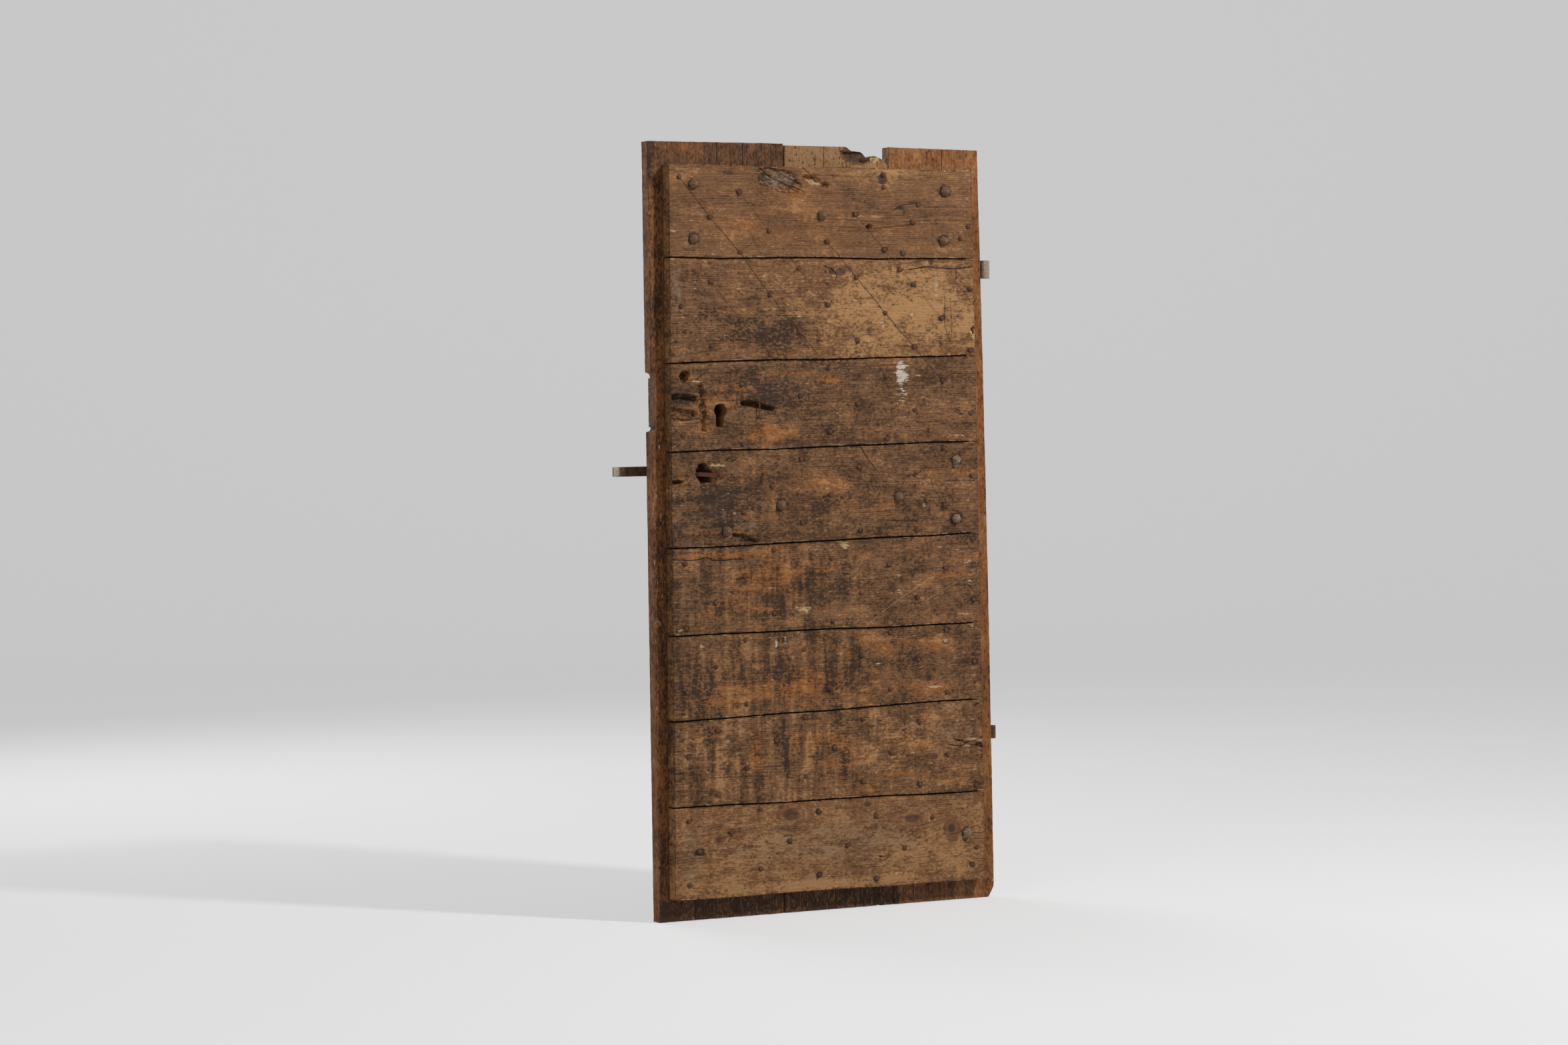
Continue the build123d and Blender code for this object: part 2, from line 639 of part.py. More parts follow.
# Strap hinges: a tapering strap with a rolled eye
for name, (height, width) in STRAPS.items():
    eye_plane = Plane(origin=(0, 0, height - width / 2 - EYE_FOOT))
    tip_half = STRAP_TIP_SHARE * width / 2
    tip_across = HINGE_ACROSS - STRAP_LENGTH + tip_half
    with BuildPart() as strap:
        with BuildSketch(eye_plane):
            Circle(EYE_RADIUS)
            with Locations((-EYE_RADIUS, PINTLE_BORE - EYE_SLIT / 2)):
                Rectangle(2 * PINTLE_BORE, EYE_SLIT, mode=Mode.SUBTRACT)
        extrude(amount=width)
        with BuildSketch(BACK_FACE):
            with BuildLine():
                root = Line((HINGE_ACROSS, height - width / 2), (HINGE_ACROSS, height + width / 2))
                top = Line(root @ 1, (tip_across, height + tip_half))
                point = SagittaArc(top @ 1, (tip_across, height - tip_half), -tip_half)
                Line(point @ 1, root @ 0)
            make_face()
        extrude(amount=-EYE_WALL)
        with BuildSketch(eye_plane):
            Circle(PINTLE_BORE)
        extrude(amount=width, mode=Mode.SUBTRACT)
        add(STRAP_HOLES, mode=Mode.SUBTRACT)
    save(strap.part, name)


def driven_from_back(face, places, nail):
    """Copies of a nail driven into a face of the back, where its frame faces away from the viewer."""
    frame = Plane(origin=face.origin, x_dir=(1, 0, 0), z_dir=(0, 1, 0))
    with BuildPart(frame) as nails:
        with Locations(*[(across, -up) for across, up in places]):
            add(nail)
    return nails.part


# Nails driven from the back
STRAP_NAIL = wrought_nail(STRAP_NAIL_HEAD, STRAP_NAIL_RISE, STRAP_NAIL_SHANK, STRAP_NAIL_LENGTH)
KEEPER_NAIL = wrought_nail(KEEPER_NAIL_HEAD, KEEPER_NAIL_RISE, KEEPER_NAIL_SHANK, KEEPER_NAIL_LENGTH)
STOCK_NAIL = wrought_nail(KEEPER_NAIL_HEAD, KEEPER_NAIL_RISE, KEEPER_NAIL_SHANK, STOCK_NAIL_LENGTH)
save(driven_from_back(STRAP_FACE, STRAP_NAIL_PLACES, STRAP_NAIL), "strap_nails")
save(driven_from_back(KEEPER_FACE, KEEPER_NAILS, KEEPER_NAIL), "keeper_nails")
save(driven_from_back(STOCK_FACE, STOCK_NAILS, STOCK_NAIL), "lock_stock_nails")

# Sliding bolt: a flat bar with an upstanding handle, forged in one
with BuildPart() as bolt:
    with BuildSketch(LEDGE_FACE.offset(-BOLT_PLAY)):
        with Locations((BOLT_LENGTH / 2 - BOLT_THROW, BOLT_HEIGHT)):
            Rectangle(BOLT_LENGTH, BOLT_WIDTH)
    extrude(amount=-BOLT_THICKNESS)
    chamfer(bolt.faces().sort_by(Axis.X)[0].edges().filter_by(Axis.Y), BOLT_NOSE_CHAMFER)
    handle_across = KEEPERS[0] + KEEPER_WIDTH / 2 + HANDLE_STOP_GAP + HANDLE_WIDTH / 2
    with BuildSketch(LEDGE_FACE.offset(-BOLT_PLAY - BOLT_THICKNESS)):
        with Locations((handle_across, BOLT_HEIGHT)):
            RectangleRounded(HANDLE_WIDTH, BOLT_WIDTH - 2 * HANDLE_SHOULDER, HANDLE_CORNER)
    extrude(amount=-HANDLE_RISE)
save(bolt.part, "slide_bolt")

# Keepers: straps bent over the bolt, with a nailed foot on each side
inside = BOLT_WIDTH / 2 + BOLT_PLAY
outside = inside + KEEPER_THICKNESS
toe = outside + KEEPER_FOOT
rise = BOLT_THICKNESS + 2 * BOLT_PLAY
crown = rise + KEEPER_THICKNESS
for name, across in zip(("bolt_keeper_outer", "bolt_keeper_inner"), KEEPERS):
    side_plane = Plane(
        origin=LEDGE_FACE.from_local_coords((across + KEEPER_WIDTH / 2, BOLT_HEIGHT, 0)),
        x_dir=(0, 0, 1),
        z_dir=(-1, 0, 0),
    )
    with BuildPart() as keeper:
        with BuildSketch(side_plane):
            with BuildLine() as half:
                Polyline(
                    (0, crown), (outside, crown), (outside, KEEPER_THICKNESS), (toe, KEEPER_THICKNESS),
                    (toe, 0), (inside, 0), (inside, rise), (0, rise),
                )
                mirror(about=Plane.YZ)
            make_face()
        extrude(amount=KEEPER_WIDTH)
        add(KEEPER_HOLES, mode=Mode.SUBTRACT)
    save(keeper.part, name)

print(len(SMALL_NAILS), "small nails,", len(LARGE_PLACES) + len(STUB_PLACES), "large ones")
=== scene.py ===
# %% [markdown]
# # A weathered plank door leaf
# The leaf is two skins of old pine planks, nailed through with wrought nails. The frame brings in
# every piece at its real size. This script gives each piece the surface of the real one: boards
# become dense meshes that can be dented and split, and nails become small forgings.

# %% Load the frame
import math

import bmesh
import bpy
import numpy as np
from mathutils import Matrix, Vector
from mathutils.bvhtree import BVHTree


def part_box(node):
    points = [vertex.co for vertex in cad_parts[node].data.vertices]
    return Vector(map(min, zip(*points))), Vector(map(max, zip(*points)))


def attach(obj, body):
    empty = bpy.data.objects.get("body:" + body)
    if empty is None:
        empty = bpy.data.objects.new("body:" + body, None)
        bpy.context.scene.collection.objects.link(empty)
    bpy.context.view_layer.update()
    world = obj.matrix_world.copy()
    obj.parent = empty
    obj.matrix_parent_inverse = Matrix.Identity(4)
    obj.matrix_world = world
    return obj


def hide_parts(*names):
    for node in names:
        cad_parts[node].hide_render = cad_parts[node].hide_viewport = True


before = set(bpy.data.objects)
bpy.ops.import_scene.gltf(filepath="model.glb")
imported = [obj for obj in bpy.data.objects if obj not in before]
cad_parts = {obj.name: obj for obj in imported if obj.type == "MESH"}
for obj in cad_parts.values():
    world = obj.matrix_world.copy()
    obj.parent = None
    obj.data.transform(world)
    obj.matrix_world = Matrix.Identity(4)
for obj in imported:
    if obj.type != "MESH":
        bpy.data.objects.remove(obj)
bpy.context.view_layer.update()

# %% [markdown]
# ## Places on the leaf
# A place on the leaf is read as on a drawing: across from the bolt-side edge, up from the foot and
# out from the seam between the skins, in millimetres. The frame says where those edges are.

# %% Turn a place on the leaf into a point
MM = 0.001
FRONT_BOARDS = [f"front_board_{number}" for number in range(1, 9)]
BACK_BOARDS = ["back_board_bolt_side", "back_board_middle", "back_board_hinge_side"]
BOLT_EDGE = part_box("back_board_bolt_side")[0].x
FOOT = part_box("back_board_bolt_side")[0].z
FACE_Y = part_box("front_board_1")[0].y
SEAM_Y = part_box("front_board_1")[1].y
FRONT = (SEAM_Y - FACE_Y) / MM
REAR = (SEAM_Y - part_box("back_board_middle")[1].y) / MM


def point(across, up, out=0):
    """A place on the leaf as a point of the frame, in metres."""
    return Vector((BOLT_EDGE + across * MM, SEAM_Y - out * MM, FOOT + up * MM))


print("face", round(FRONT, 1), "mm and rear", round(REAR, 1), "mm out of the seam")

# %% [markdown]
# ## Small tools
# Blender keeps an object apart from its mesh, and a bmesh operator gives back a mixed list of what
# it made. These helpers link a new object, turn a bmesh into a mesh, and extrude faces so that the
# old ones don't stay behind inside, which needs the faces' edges in the operator's list as well.

# %% Link an object, keep a bmesh and extrude
def link(name, data):
    """A new object in the scene."""
    item = bpy.data.objects.new(name, data)
    bpy.context.scene.collection.objects.link(item)
    return item


def to_mesh(bm, name, smooth=True):
    """A bmesh as a mesh, with smooth or flat shading."""
    mesh = bpy.data.meshes.new(name)
    bm.to_mesh(mesh)
    bm.free()
    mesh.polygons.foreach_set("use_smooth", [smooth] * len(mesh.polygons))
    return mesh


def kind_of(made, kind):
    """The vertices or faces among what an operator made."""
    return [item for item in made if isinstance(item, kind)]


def extrude(bm, faces):
    """Extrude faces together with their edges. Gives the new vertices and the new end's faces."""
    # A dict keeps its order where a set does not, so that every run makes the same mesh.
    edges = dict.fromkeys(edge for face in faces for edge in face.edges)
    grown = bmesh.ops.extrude_face_region(bm, geom=[*faces, *edges])["geom"]
    return kind_of(grown, bmesh.types.BMVert), kind_of(grown, bmesh.types.BMFace)


def read_points(mesh, value="co"):
    """The places, or the normals, of the mesh's points as an array of rows."""
    flat = np.zeros(len(mesh.vertices) * 3)
    mesh.vertices.foreach_get(value, flat)
    return flat.reshape(-1, 3)


# %% [markdown]
# ## The camera
# The photograph was taken with a long lens from a little below mid height, with the leaf turned so
# that its bolt-side edge shows. The camera's place came from matching the leaf's corners.

# %% Set the camera
CAMERA_AT = (-5.0617, -8.3061, 0.7789)
CAMERA_TURN = (28.0, -1.518, 0.870)
FOCAL_PIXELS = 6226.0
PHOTO_WIDTH = 2352
SENSOR = 36.0
SHIFT_PIXELS = (-59.4, -4.7)


def camera_axes(turn, tilt, roll):
    """The camera's right, forward and up directions as the columns of a rotation."""
    around = Matrix.Rotation(math.radians(-turn), 3, "Z")
    nod = Matrix.Rotation(math.radians(tilt), 3, "X")
    lean = Matrix.Rotation(math.radians(roll), 3, "Y")
    return around @ nod @ lean


axes = camera_axes(*CAMERA_TURN)
right, forward, above = (axes.col[i] for i in range(3))
camera = link("camera", bpy.data.cameras.new("camera"))
camera.data.sensor_width = SENSOR
camera.data.lens = FOCAL_PIXELS / PHOTO_WIDTH * SENSOR
camera.data.shift_x = -SHIFT_PIXELS[0] / PHOTO_WIDTH
camera.data.shift_y = SHIFT_PIXELS[1] / PHOTO_WIDTH
camera.data.clip_end = 60
turned = Matrix((right, above, -forward)).transposed()
camera.matrix_world = Matrix.Translation(CAMERA_AT) @ turned.to_4x4()
bpy.context.scene.camera = camera
print("lens", round(camera.data.lens, 1), "mm")

# %% [markdown]
# ## Material helpers
# A material is a tree of nodes. Writing its maths as Python expressions keeps it readable: a Wire
# holds a socket, and adding or multiplying wires adds the Math nodes for it. Every other node
# comes from one method, which takes the node's settings first and then the values of its sockets.

# %% Colours, and sums of sockets
def colour(code):
    """A colour written as six hexadecimal digits, in the linear values that nodes use."""
    parts = [int(code[i:i + 2], 16) / 255 for i in (0, 2, 4)]
    linear = [c / 12.92 if c <= 0.04045 else ((c + 0.055) / 1.055) ** 2.4 for c in parts]
    return (*linear, 1.0)


class Wire:
    """A node's output socket that can be used in sums."""

    def __init__(self, paint, socket):
        self.paint = paint
        self.socket = socket

    def join(self, operation, first, second):
        return self.paint.node("Math", {"operation": operation}, {0: first, 1: second})

    def alone(self, operation):
        return self.paint.node("Math", {"operation": operation}, {0: self})

    def __add__(self, other):
        return self.join("ADD", self, other)

    def __sub__(self, other):
        return self.join("SUBTRACT", self, other)

    def __rsub__(self, other):
        return self.join("SUBTRACT", other, self)

    def __mul__(self, other):
        return self.join("MULTIPLY", self, other)

    __radd__ = __add__
    __rmul__ = __mul__


print("middle grey in linear values", round(colour("808080")[0], 3))

# %% Build node trees
class Paint:
    """One material, or the world, filled with nodes step by step."""

    def __init__(self, name, world=None):
        self.material = world or bpy.data.materials.new(name)
        self.material.use_nodes = True
        self.tree = self.material.node_tree
        self.tree.nodes.clear()

    def node(self, kind, settings, sockets, out=0):
        """A shader node with its settings, then the values or wires of its sockets."""
        made = self.tree.nodes.new("ShaderNode" + kind)
        for key, value in settings.items():
            setattr(made, key, value)
        for key, value in sockets.items():
            if isinstance(value, Wire):
                self.tree.links.new(value.socket, made.inputs[key])
            else:
                made.inputs[key].default_value = value
        return Wire(self, made.outputs[out])

    def noise(self, where, scale, detail=4.0, roughness=0.6):
        """Cloudy noise from 0 to 1 at a place, which is scaled along its three axes."""
        scaled = self.node("Mapping", {}, {"Vector": where, "Scale": scale})
        values = {"Vector": scaled, "Scale": 1.0, "Detail": detail, "Roughness": roughness}
        return self.node("TexNoise", {}, values)

    def range(self, value, low, high, to_low=0.0, to_high=1.0):
        """A value moved smoothly from one range to another and held at its ends."""
        ends = {"From Min": low, "From Max": high, "To Min": to_low, "To Max": to_high}
        return self.node("MapRange", {"interpolation_type": "SMOOTHSTEP"}, {"Value": value, **ends})

    def layers(self, base, *coats):
        """A colour with coats over it, each a share and a colour."""
        for share, tint in coats:
            settings = {"data_type": "RGBA", "blend_type": "MIX", "clamp_factor": True}
            base = self.node("Mix", settings, {0: share, 6: base, 7: tint}, 2)
        return base

    def attributes(self, *names):
        """Values that the mesh carries at each of its points."""
        return [self.node("Attribute", {"attribute_name": name}, {}, "Fac") for name in names]

    def bump(self, height, depth, strength=1.0, **below):
        """A bumped normal, on top of another one where it is given."""
        return self.node("Bump", {}, {"Height": height, "Distance": depth, "Strength": strength, **below})

    def seen(self):
        """1 for the rays that look at a backdrop: the camera's, a mirror's and those through glass."""
        kinds = ("Camera", "Glossy", "Transmission")
        rays = [self.node("LightPath", {}, {}, f"Is {kind} Ray") for kind in kinds]
        return rays[0] + rays[1] + rays[2]

    def end(self, shader, kind="Material"):
        """Send a shader to the surface of the material or the world."""
        made = self.tree.nodes.new("ShaderNodeOutput" + kind)
        self.tree.links.new(shader.socket, made.inputs["Surface"])
        return self.material

    def finish(self, **sockets):
        """End in a surface shader, and give back the material."""
        named = {key.replace("_", " "): value for key, value in sockets.items()}
        return self.end(self.node("BsdfPrincipled", {}, named))


print("a paint can", [name for name in vars(Paint) if not name.startswith("_")])

# %% [markdown]
# ## Floor and light
# A plain pale floor curves up into a backdrop. The camera sees it white, while the wood is lit by
# soft lamps: the main one stands high on the viewer's right, so that the nail heads throw short
# shadows down and to the left, as in the photograph.

# %% Make the floor
FLOOR_START, BEND_START, BEND = -16, 9, 2
BACKDROP_TOP = 9
FLOOR_WIDTH = 28
LEAF_MIDDLE = -0.45


def make_floor():
    """A pale floor, curved up into a wall behind the object."""
    bm = bmesh.new()
    turns = np.linspace(0.15, math.pi / 2, 12)
    line = [(FLOOR_START, 0), (BEND_START, 0)]
    line += [(BEND_START + BEND * math.sin(a), BEND - BEND * math.cos(a)) for a in turns]
    line += [(BEND_START + BEND, BACKDROP_TOP)]
    verts = [bm.verts.new((-FLOOR_WIDTH / 2, y, z)) for y, z in line]
    edges = [bm.edges.new(pair) for pair in zip(verts, verts[1:])]
    far = kind_of(bmesh.ops.extrude_edge_only(bm, edges=edges)["geom"], bmesh.types.BMVert)
    bmesh.ops.translate(bm, verts=far, vec=(FLOOR_WIDTH, 0, 0))
    turn = Matrix.Rotation(math.radians(-CAMERA_TURN[0]), 3, "Z")
    bmesh.ops.rotate(bm, verts=bm.verts, matrix=turn)
    bmesh.ops.translate(bm, verts=bm.verts, vec=(LEAF_MIDDLE, 0, FOOT - 0.5 * MM))
    bmesh.ops.recalc_face_normals(bm, faces=bm.faces)
    return link("floor", to_mesh(bm, "floor"))


def floor_material():
    """Pale to the camera, to mirrors and to glass, and grey enough to hold the object's shadow."""
    paint = Paint("floor")
    diffuse = paint.node("BsdfDiffuse", {}, {"Color": colour("e8e8e8")})
    glow = paint.node("Emission", {}, {"Color": colour("f4f4f4"), "Strength": 1.0})
    return paint.end(paint.node("MixShader", {}, {0: paint.seen() * 0.55, 1: diffuse, 2: glow}))


floor = make_floor()
floor.data.materials.append(floor_material())
print("floor at", round(FOOT, 3))

# %% Set the lamps and the world
LAMPS = {
    "key": ((1.5, -3.6, 4.0), 0.4, 200),
    "fill": ((-5.0, -3.4, 2.0), 2.5, 52),
    "rear": ((-1.0, 4.8, 3.2), 3.0, 110),
}
LAMP_TARGET = Vector((LEAF_MIDDLE, 0, 0.5))
WORLD_LIGHT, WORLD_SEEN = 0.11, 0.45

for name, (at, size, watts) in LAMPS.items():
    data = bpy.data.lights.new(name, "AREA")
    data.size = size
    data.energy = watts
    lamp = link(name, data)
    lamp.location = at
    lamp.rotation_euler = (LAMP_TARGET - Vector(at)).to_track_quat("-Z", "Y").to_euler()

sky = Paint("world", bpy.data.worlds.new("world"))
strength = sky.seen() * WORLD_SEEN + WORLD_LIGHT
sky.end(sky.node("Background", {}, {"Color": (1, 1, 1, 1), "Strength": strength}), "World")
bpy.context.scene.world = sky.material
bpy.context.scene.view_settings.view_transform = "Standard"
print("lamps", len(bpy.data.lights))

# %% [markdown]
# ## Noise for the mesh
# Fine grain can be bump, but splits, dents and worn edges change the outline of a board, so they
# are real moves of its points. They need a noise in Python: smooth random values on a lattice.

# %% Noise over a plane
TABLE_SIZE = 256


def plane_noise(x, y, seed, octaves=4):
    """Smooth noise from -1 to 1 at plane coordinates, each octave half as large."""
    table = np.random.default_rng(seed).uniform(-1, 1, (TABLE_SIZE, TABLE_SIZE))
    total = np.zeros(np.broadcast(x, y).shape)
    weight, reach = 1.0, 0.0
    for _ in range(octaves):
        ix, iy = np.floor(x).astype(int), np.floor(y).astype(int)
        fx, fy = x - ix, y - iy
        fx, fy = fx * fx * (3 - 2 * fx), fy * fy * (3 - 2 * fy)
        wrap = TABLE_SIZE - 1
        corner = [table[(ix + i) & wrap, (iy + j) & wrap] for i in (0, 1) for j in (0, 1)]
        low = corner[0] * (1 - fy) + corner[1] * fy
        high = corner[2] * (1 - fy) + corner[3] * fy
        total += weight * (low * (1 - fx) + high * fx)
        reach += weight
        x, y, weight = x * 2 + 17.3, y * 2 + 5.7, weight * 0.5
    return total / reach


def step_up(value, low, high):
    """0 below low, 1 above high and a smooth rise between."""
    share = np.clip((value - low) / (high - low), 0, 1)
    return share * share * (3 - 2 * share)


print("noise sample", plane_noise(np.array([0.5, 1.5]), 0.2, 3).round(2))

# %% [markdown]
# ## Reading the frame
# The outline of each board and the wood that it has lost are already in the frame. Rays cast at a
# CAD node read them off: from the sides they find its edges, from the front the depth of its
# pockets. A node of many nails is split into its separate solids to read each nail's place.

# %% Cast rays at a node
def tree_of(node):
    """A search tree over a node's triangles, for casting rays."""
    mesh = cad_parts[node].data
    return BVHTree.FromPolygons([v.co for v in mesh.vertices], [p.vertices for p in mesh.polygons])


def read_outline(node, y, columns, rows, trims=(24, 24)):
    """A board's two ends at each row and its foot and head at each column, in millimetres.

    Rays at the very foot and head could miss a sloping edge, so the ends there are read at the
    trims, a little farther in.
    """
    tree = tree_of(node)
    low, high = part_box(node)

    def hit(x, z, dx, dz):
        return tree.ray_cast(Vector((x, y, z)), Vector((dx, 0, dz)))[0]

    foot, head = low.z + trims[0] * MM, high.z - trims[1] * MM
    heights = np.clip(low.z + rows * (high.z - low.z), foot, head)
    left = np.array([hit(low.x - 1, z, 1, 0).x for z in heights])
    right = np.array([hit(high.x + 1, z, -1, 0).x for z in heights])
    inner = np.clip(columns, 0.0015, 0.9985)
    bottom = np.array([hit(x, low.z - 1, 0, 1).z for x in left[0] + inner * (right[0] - left[0])])
    top = np.array([hit(x, high.z + 1, 0, -1).z for x in left[-1] + inner * (right[-1] - left[-1])])
    return (left - BOLT_EDGE) / MM, (right - BOLT_EDGE) / MM, (bottom - FOOT) / MM, (top - FOOT) / MM


def graded(step, length, fine=(0, 0.7, 1.6, 2.8, 4.2)):
    """Shares from 0 to 1 along a length in millimetres, set closer together at both ends."""
    edge = np.array(fine) / length
    inner = np.linspace(edge[-1], 1 - edge[-1], max(3, round(length / step)))
    return np.concatenate([edge[:-1], inner, (1 - edge[:-1])[::-1]])


print("steps over 20 mm", (graded(5, 20) * 20).round(1))

# %% Read the nails
BASE_RING = 0.6


def islands(node):
    """The separate solids of a node, each as rows of across, up and out in millimetres."""
    bm = bmesh.new()
    bm.from_mesh(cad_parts[node].data)
    bmesh.ops.remove_doubles(bm, verts=bm.verts, dist=1e-6)
    found, seen = [], set()
    for start in bm.verts:
        if start in seen:
            continue
        seen.add(start)
        group, front = [], [start]
        while front:
            vert = front.pop()
            group.append(((vert.co.x - BOLT_EDGE) / MM, (vert.co.z - FOOT) / MM, (SEAM_Y - vert.co.y) / MM))
            for edge in vert.link_edges:
                other = edge.other_vert(vert)
                if other not in seen:
                    seen.add(other)
                    front.append(other)
        found.append(np.array(group))
    bm.free()
    return found


def nails_of(node, face, side=1):
    """Each nail's place, the width of its head and how far it reaches behind the face."""
    nails = []
    for solid in islands(node):
        head = solid[(solid[:, 2] - face) * side > -BASE_RING]
        middle = (head[:, :2].min(0) + head[:, :2].max(0)) / 2
        width = float(head[:, :2].max(0)[0] - head[:, :2].min(0)[0])
        depth = float(((face - solid[:, 2]) * side).max())
        nails.append((float(middle[0]), float(middle[1]), width, depth))
    return nails


SMALL_NAILS = nails_of("lattice_nails", FRONT)
LARGE_NAILS = nails_of("large_nails", FRONT)
print(len(SMALL_NAILS), "small nails,", len(LARGE_NAILS), "large nails")

# %% [markdown]
# ## A board as a fine net
# Each board starts as a flat grid. Its rim is extruded back in thin layers, and the open back is
# closed by one face, or by a second grid where the back is seen too. Then the columns and rows are
# stretched to the outline of the CAD board, and every point can be pressed in by a dent or a split.

# %% Make a net
def plank_net(name, columns, rows, wall, both=False):
    """A closed board in shares of its width and height, with the depth of each layer in millimetres."""
    bm = bmesh.new()

    def grid(depth):
        made = bmesh.ops.create_grid(bm, x_segments=len(columns) - 1, y_segments=len(rows) - 1, size=0.5)
        for vert in made["verts"]:
            i = round((vert.co.x + 0.5) * (len(columns) - 1))
            j = round((vert.co.y + 0.5) * (len(rows) - 1))
            vert.co = (columns[i], depth, rows[j])

    grid(0)
    for depth in wall:
        rim = [edge for edge in bm.edges if edge.is_boundary]
        grown = bmesh.ops.extrude_edge_only(bm, edges=rim)["geom"]
        for vert in kind_of(grown, bmesh.types.BMVert):
            vert.co.y = depth
    if both:
        grid(wall[-1])
        rim = dict.fromkeys(vert for edge in bm.edges if edge.is_boundary for vert in edge.verts)
        bmesh.ops.remove_doubles(bm, verts=list(rim), dist=1e-5)
    else:
        bmesh.ops.contextual_create(bm, geom=[edge for edge in bm.edges if edge.is_boundary])
    bmesh.ops.recalc_face_normals(bm, faces=bm.faces)
    return to_mesh(bm, name)


sample = plank_net("sample", graded(50, 200), graded(50, 100), (10, 20))
print("a net of a small block has", len(sample.polygons), "faces")
bpy.data.meshes.remove(sample)

# %% Stretch it over a board
END_FADE = 160


class Board:
    """A net stretched over a CAD board: where each point is, and how far it is from each edge."""

    def __init__(self, columns, rows, outline, mesh, knots=()):
        shares = read_points(mesh)
        i = np.searchsorted((columns[1:] + columns[:-1]) / 2, shares[:, 0])
        j = np.searchsorted((rows[1:] + rows[:-1]) / 2, shares[:, 2])
        left, right, bottom, top = outline
        self.mesh, self.depth, self.knots = mesh, shares[:, 1], knots
        self.thick = self.depth.max()
        self.across = left[j] + (right[j] - left[j]) * shares[:, 0]
        foot, head = bottom.min(), top.max()
        tall = head - foot
        low_fade = np.clip(1 - shares[:, 2] * tall / END_FADE, 0, 1)
        high_fade = np.clip(1 - (1 - shares[:, 2]) * tall / END_FADE, 0, 1)
        self.up = foot + tall * shares[:, 2] + (bottom[i] - foot) * low_fade + (top[i] - head) * high_fade
        self.to_left, self.to_right = self.across - left[j], right[j] - self.across
        self.to_foot, self.to_head = self.up - bottom[i], top[i] - self.up
        self.to_end = np.minimum(self.to_left, self.to_right)
        self.to_side = np.minimum(self.to_foot, self.to_head)
        self.face = self.depth < 0.01
        self.back = self.depth > self.thick - 0.01
        self.offset = np.zeros(len(self.up))

    def inside(self, low, high):
        """0 at the rim and 1 farther in, so that dents leave the rim where it is."""
        return step_up(np.minimum(self.to_end, self.to_side), low, high)

    def round_arris(self, worn):
        """Sink the rim of the face, and of the back, into a rounded edge of radius worn."""
        near = np.hypot(np.maximum(worn - self.to_end, 0), np.maximum(worn - self.to_side, 0))
        sink = worn - np.sqrt(np.maximum(worn**2 - np.minimum(near, worn) ** 2, 0))
        self.offset += sink * self.face - sink * self.back

    def roughen_edges(self, seed, amount, reach=10):
        """Draw the edges inwards a little, unevenly along their length."""
        wander = 0.5 + 0.5 * plane_noise(self.up / 7 + self.depth / 40, self.depth / 9, seed, 3)
        bite = amount * wander * np.clip(1 - self.to_end / reach, 0, 1)
        self.across += np.where(self.to_left < self.to_right, bite, -bite)
        wander = 0.5 + 0.5 * plane_noise(self.across / 16, self.depth / 11, seed + 1, 3)
        bite = amount * wander * np.clip(1 - self.to_side / reach, 0, 1)
        self.up += np.where(self.to_foot < self.to_head, bite, -bite)

    def place(self, face_y, facing=1):
        """Move the net's points to where the board is. Facing is -1 for a face that looks back."""
        y = face_y + facing * (self.depth + self.offset) * MM
        x, z = BOLT_EDGE + self.across * MM, FOOT + self.up * MM
        self.mesh.vertices.foreach_set("co", np.stack([x, y, z], 1).ravel())
        if facing < 0:
            self.mesh.flip_normals()
        self.mesh.update()

    def carry(self, **fields):
        """Store values at the mesh's points, where the material can read them."""
        for name, values in fields.items():
            layer = self.mesh.attributes.new(name, "FLOAT", "POINT")
            layer.data.foreach_set("value", np.broadcast_to(values, len(self.up)).astype(np.float32))


def show(name, mesh, material, body, slot, *nodes):
    """Put a finished piece in the scene, in place of the CAD nodes that it stands for."""
    piece = link(name, mesh)
    mesh.materials.clear()
    mesh.materials.append(material)
    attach(piece, body)
    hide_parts(*nodes)
    return piece


print("a board can", [name for name in vars(Board) if not name.startswith("_")])
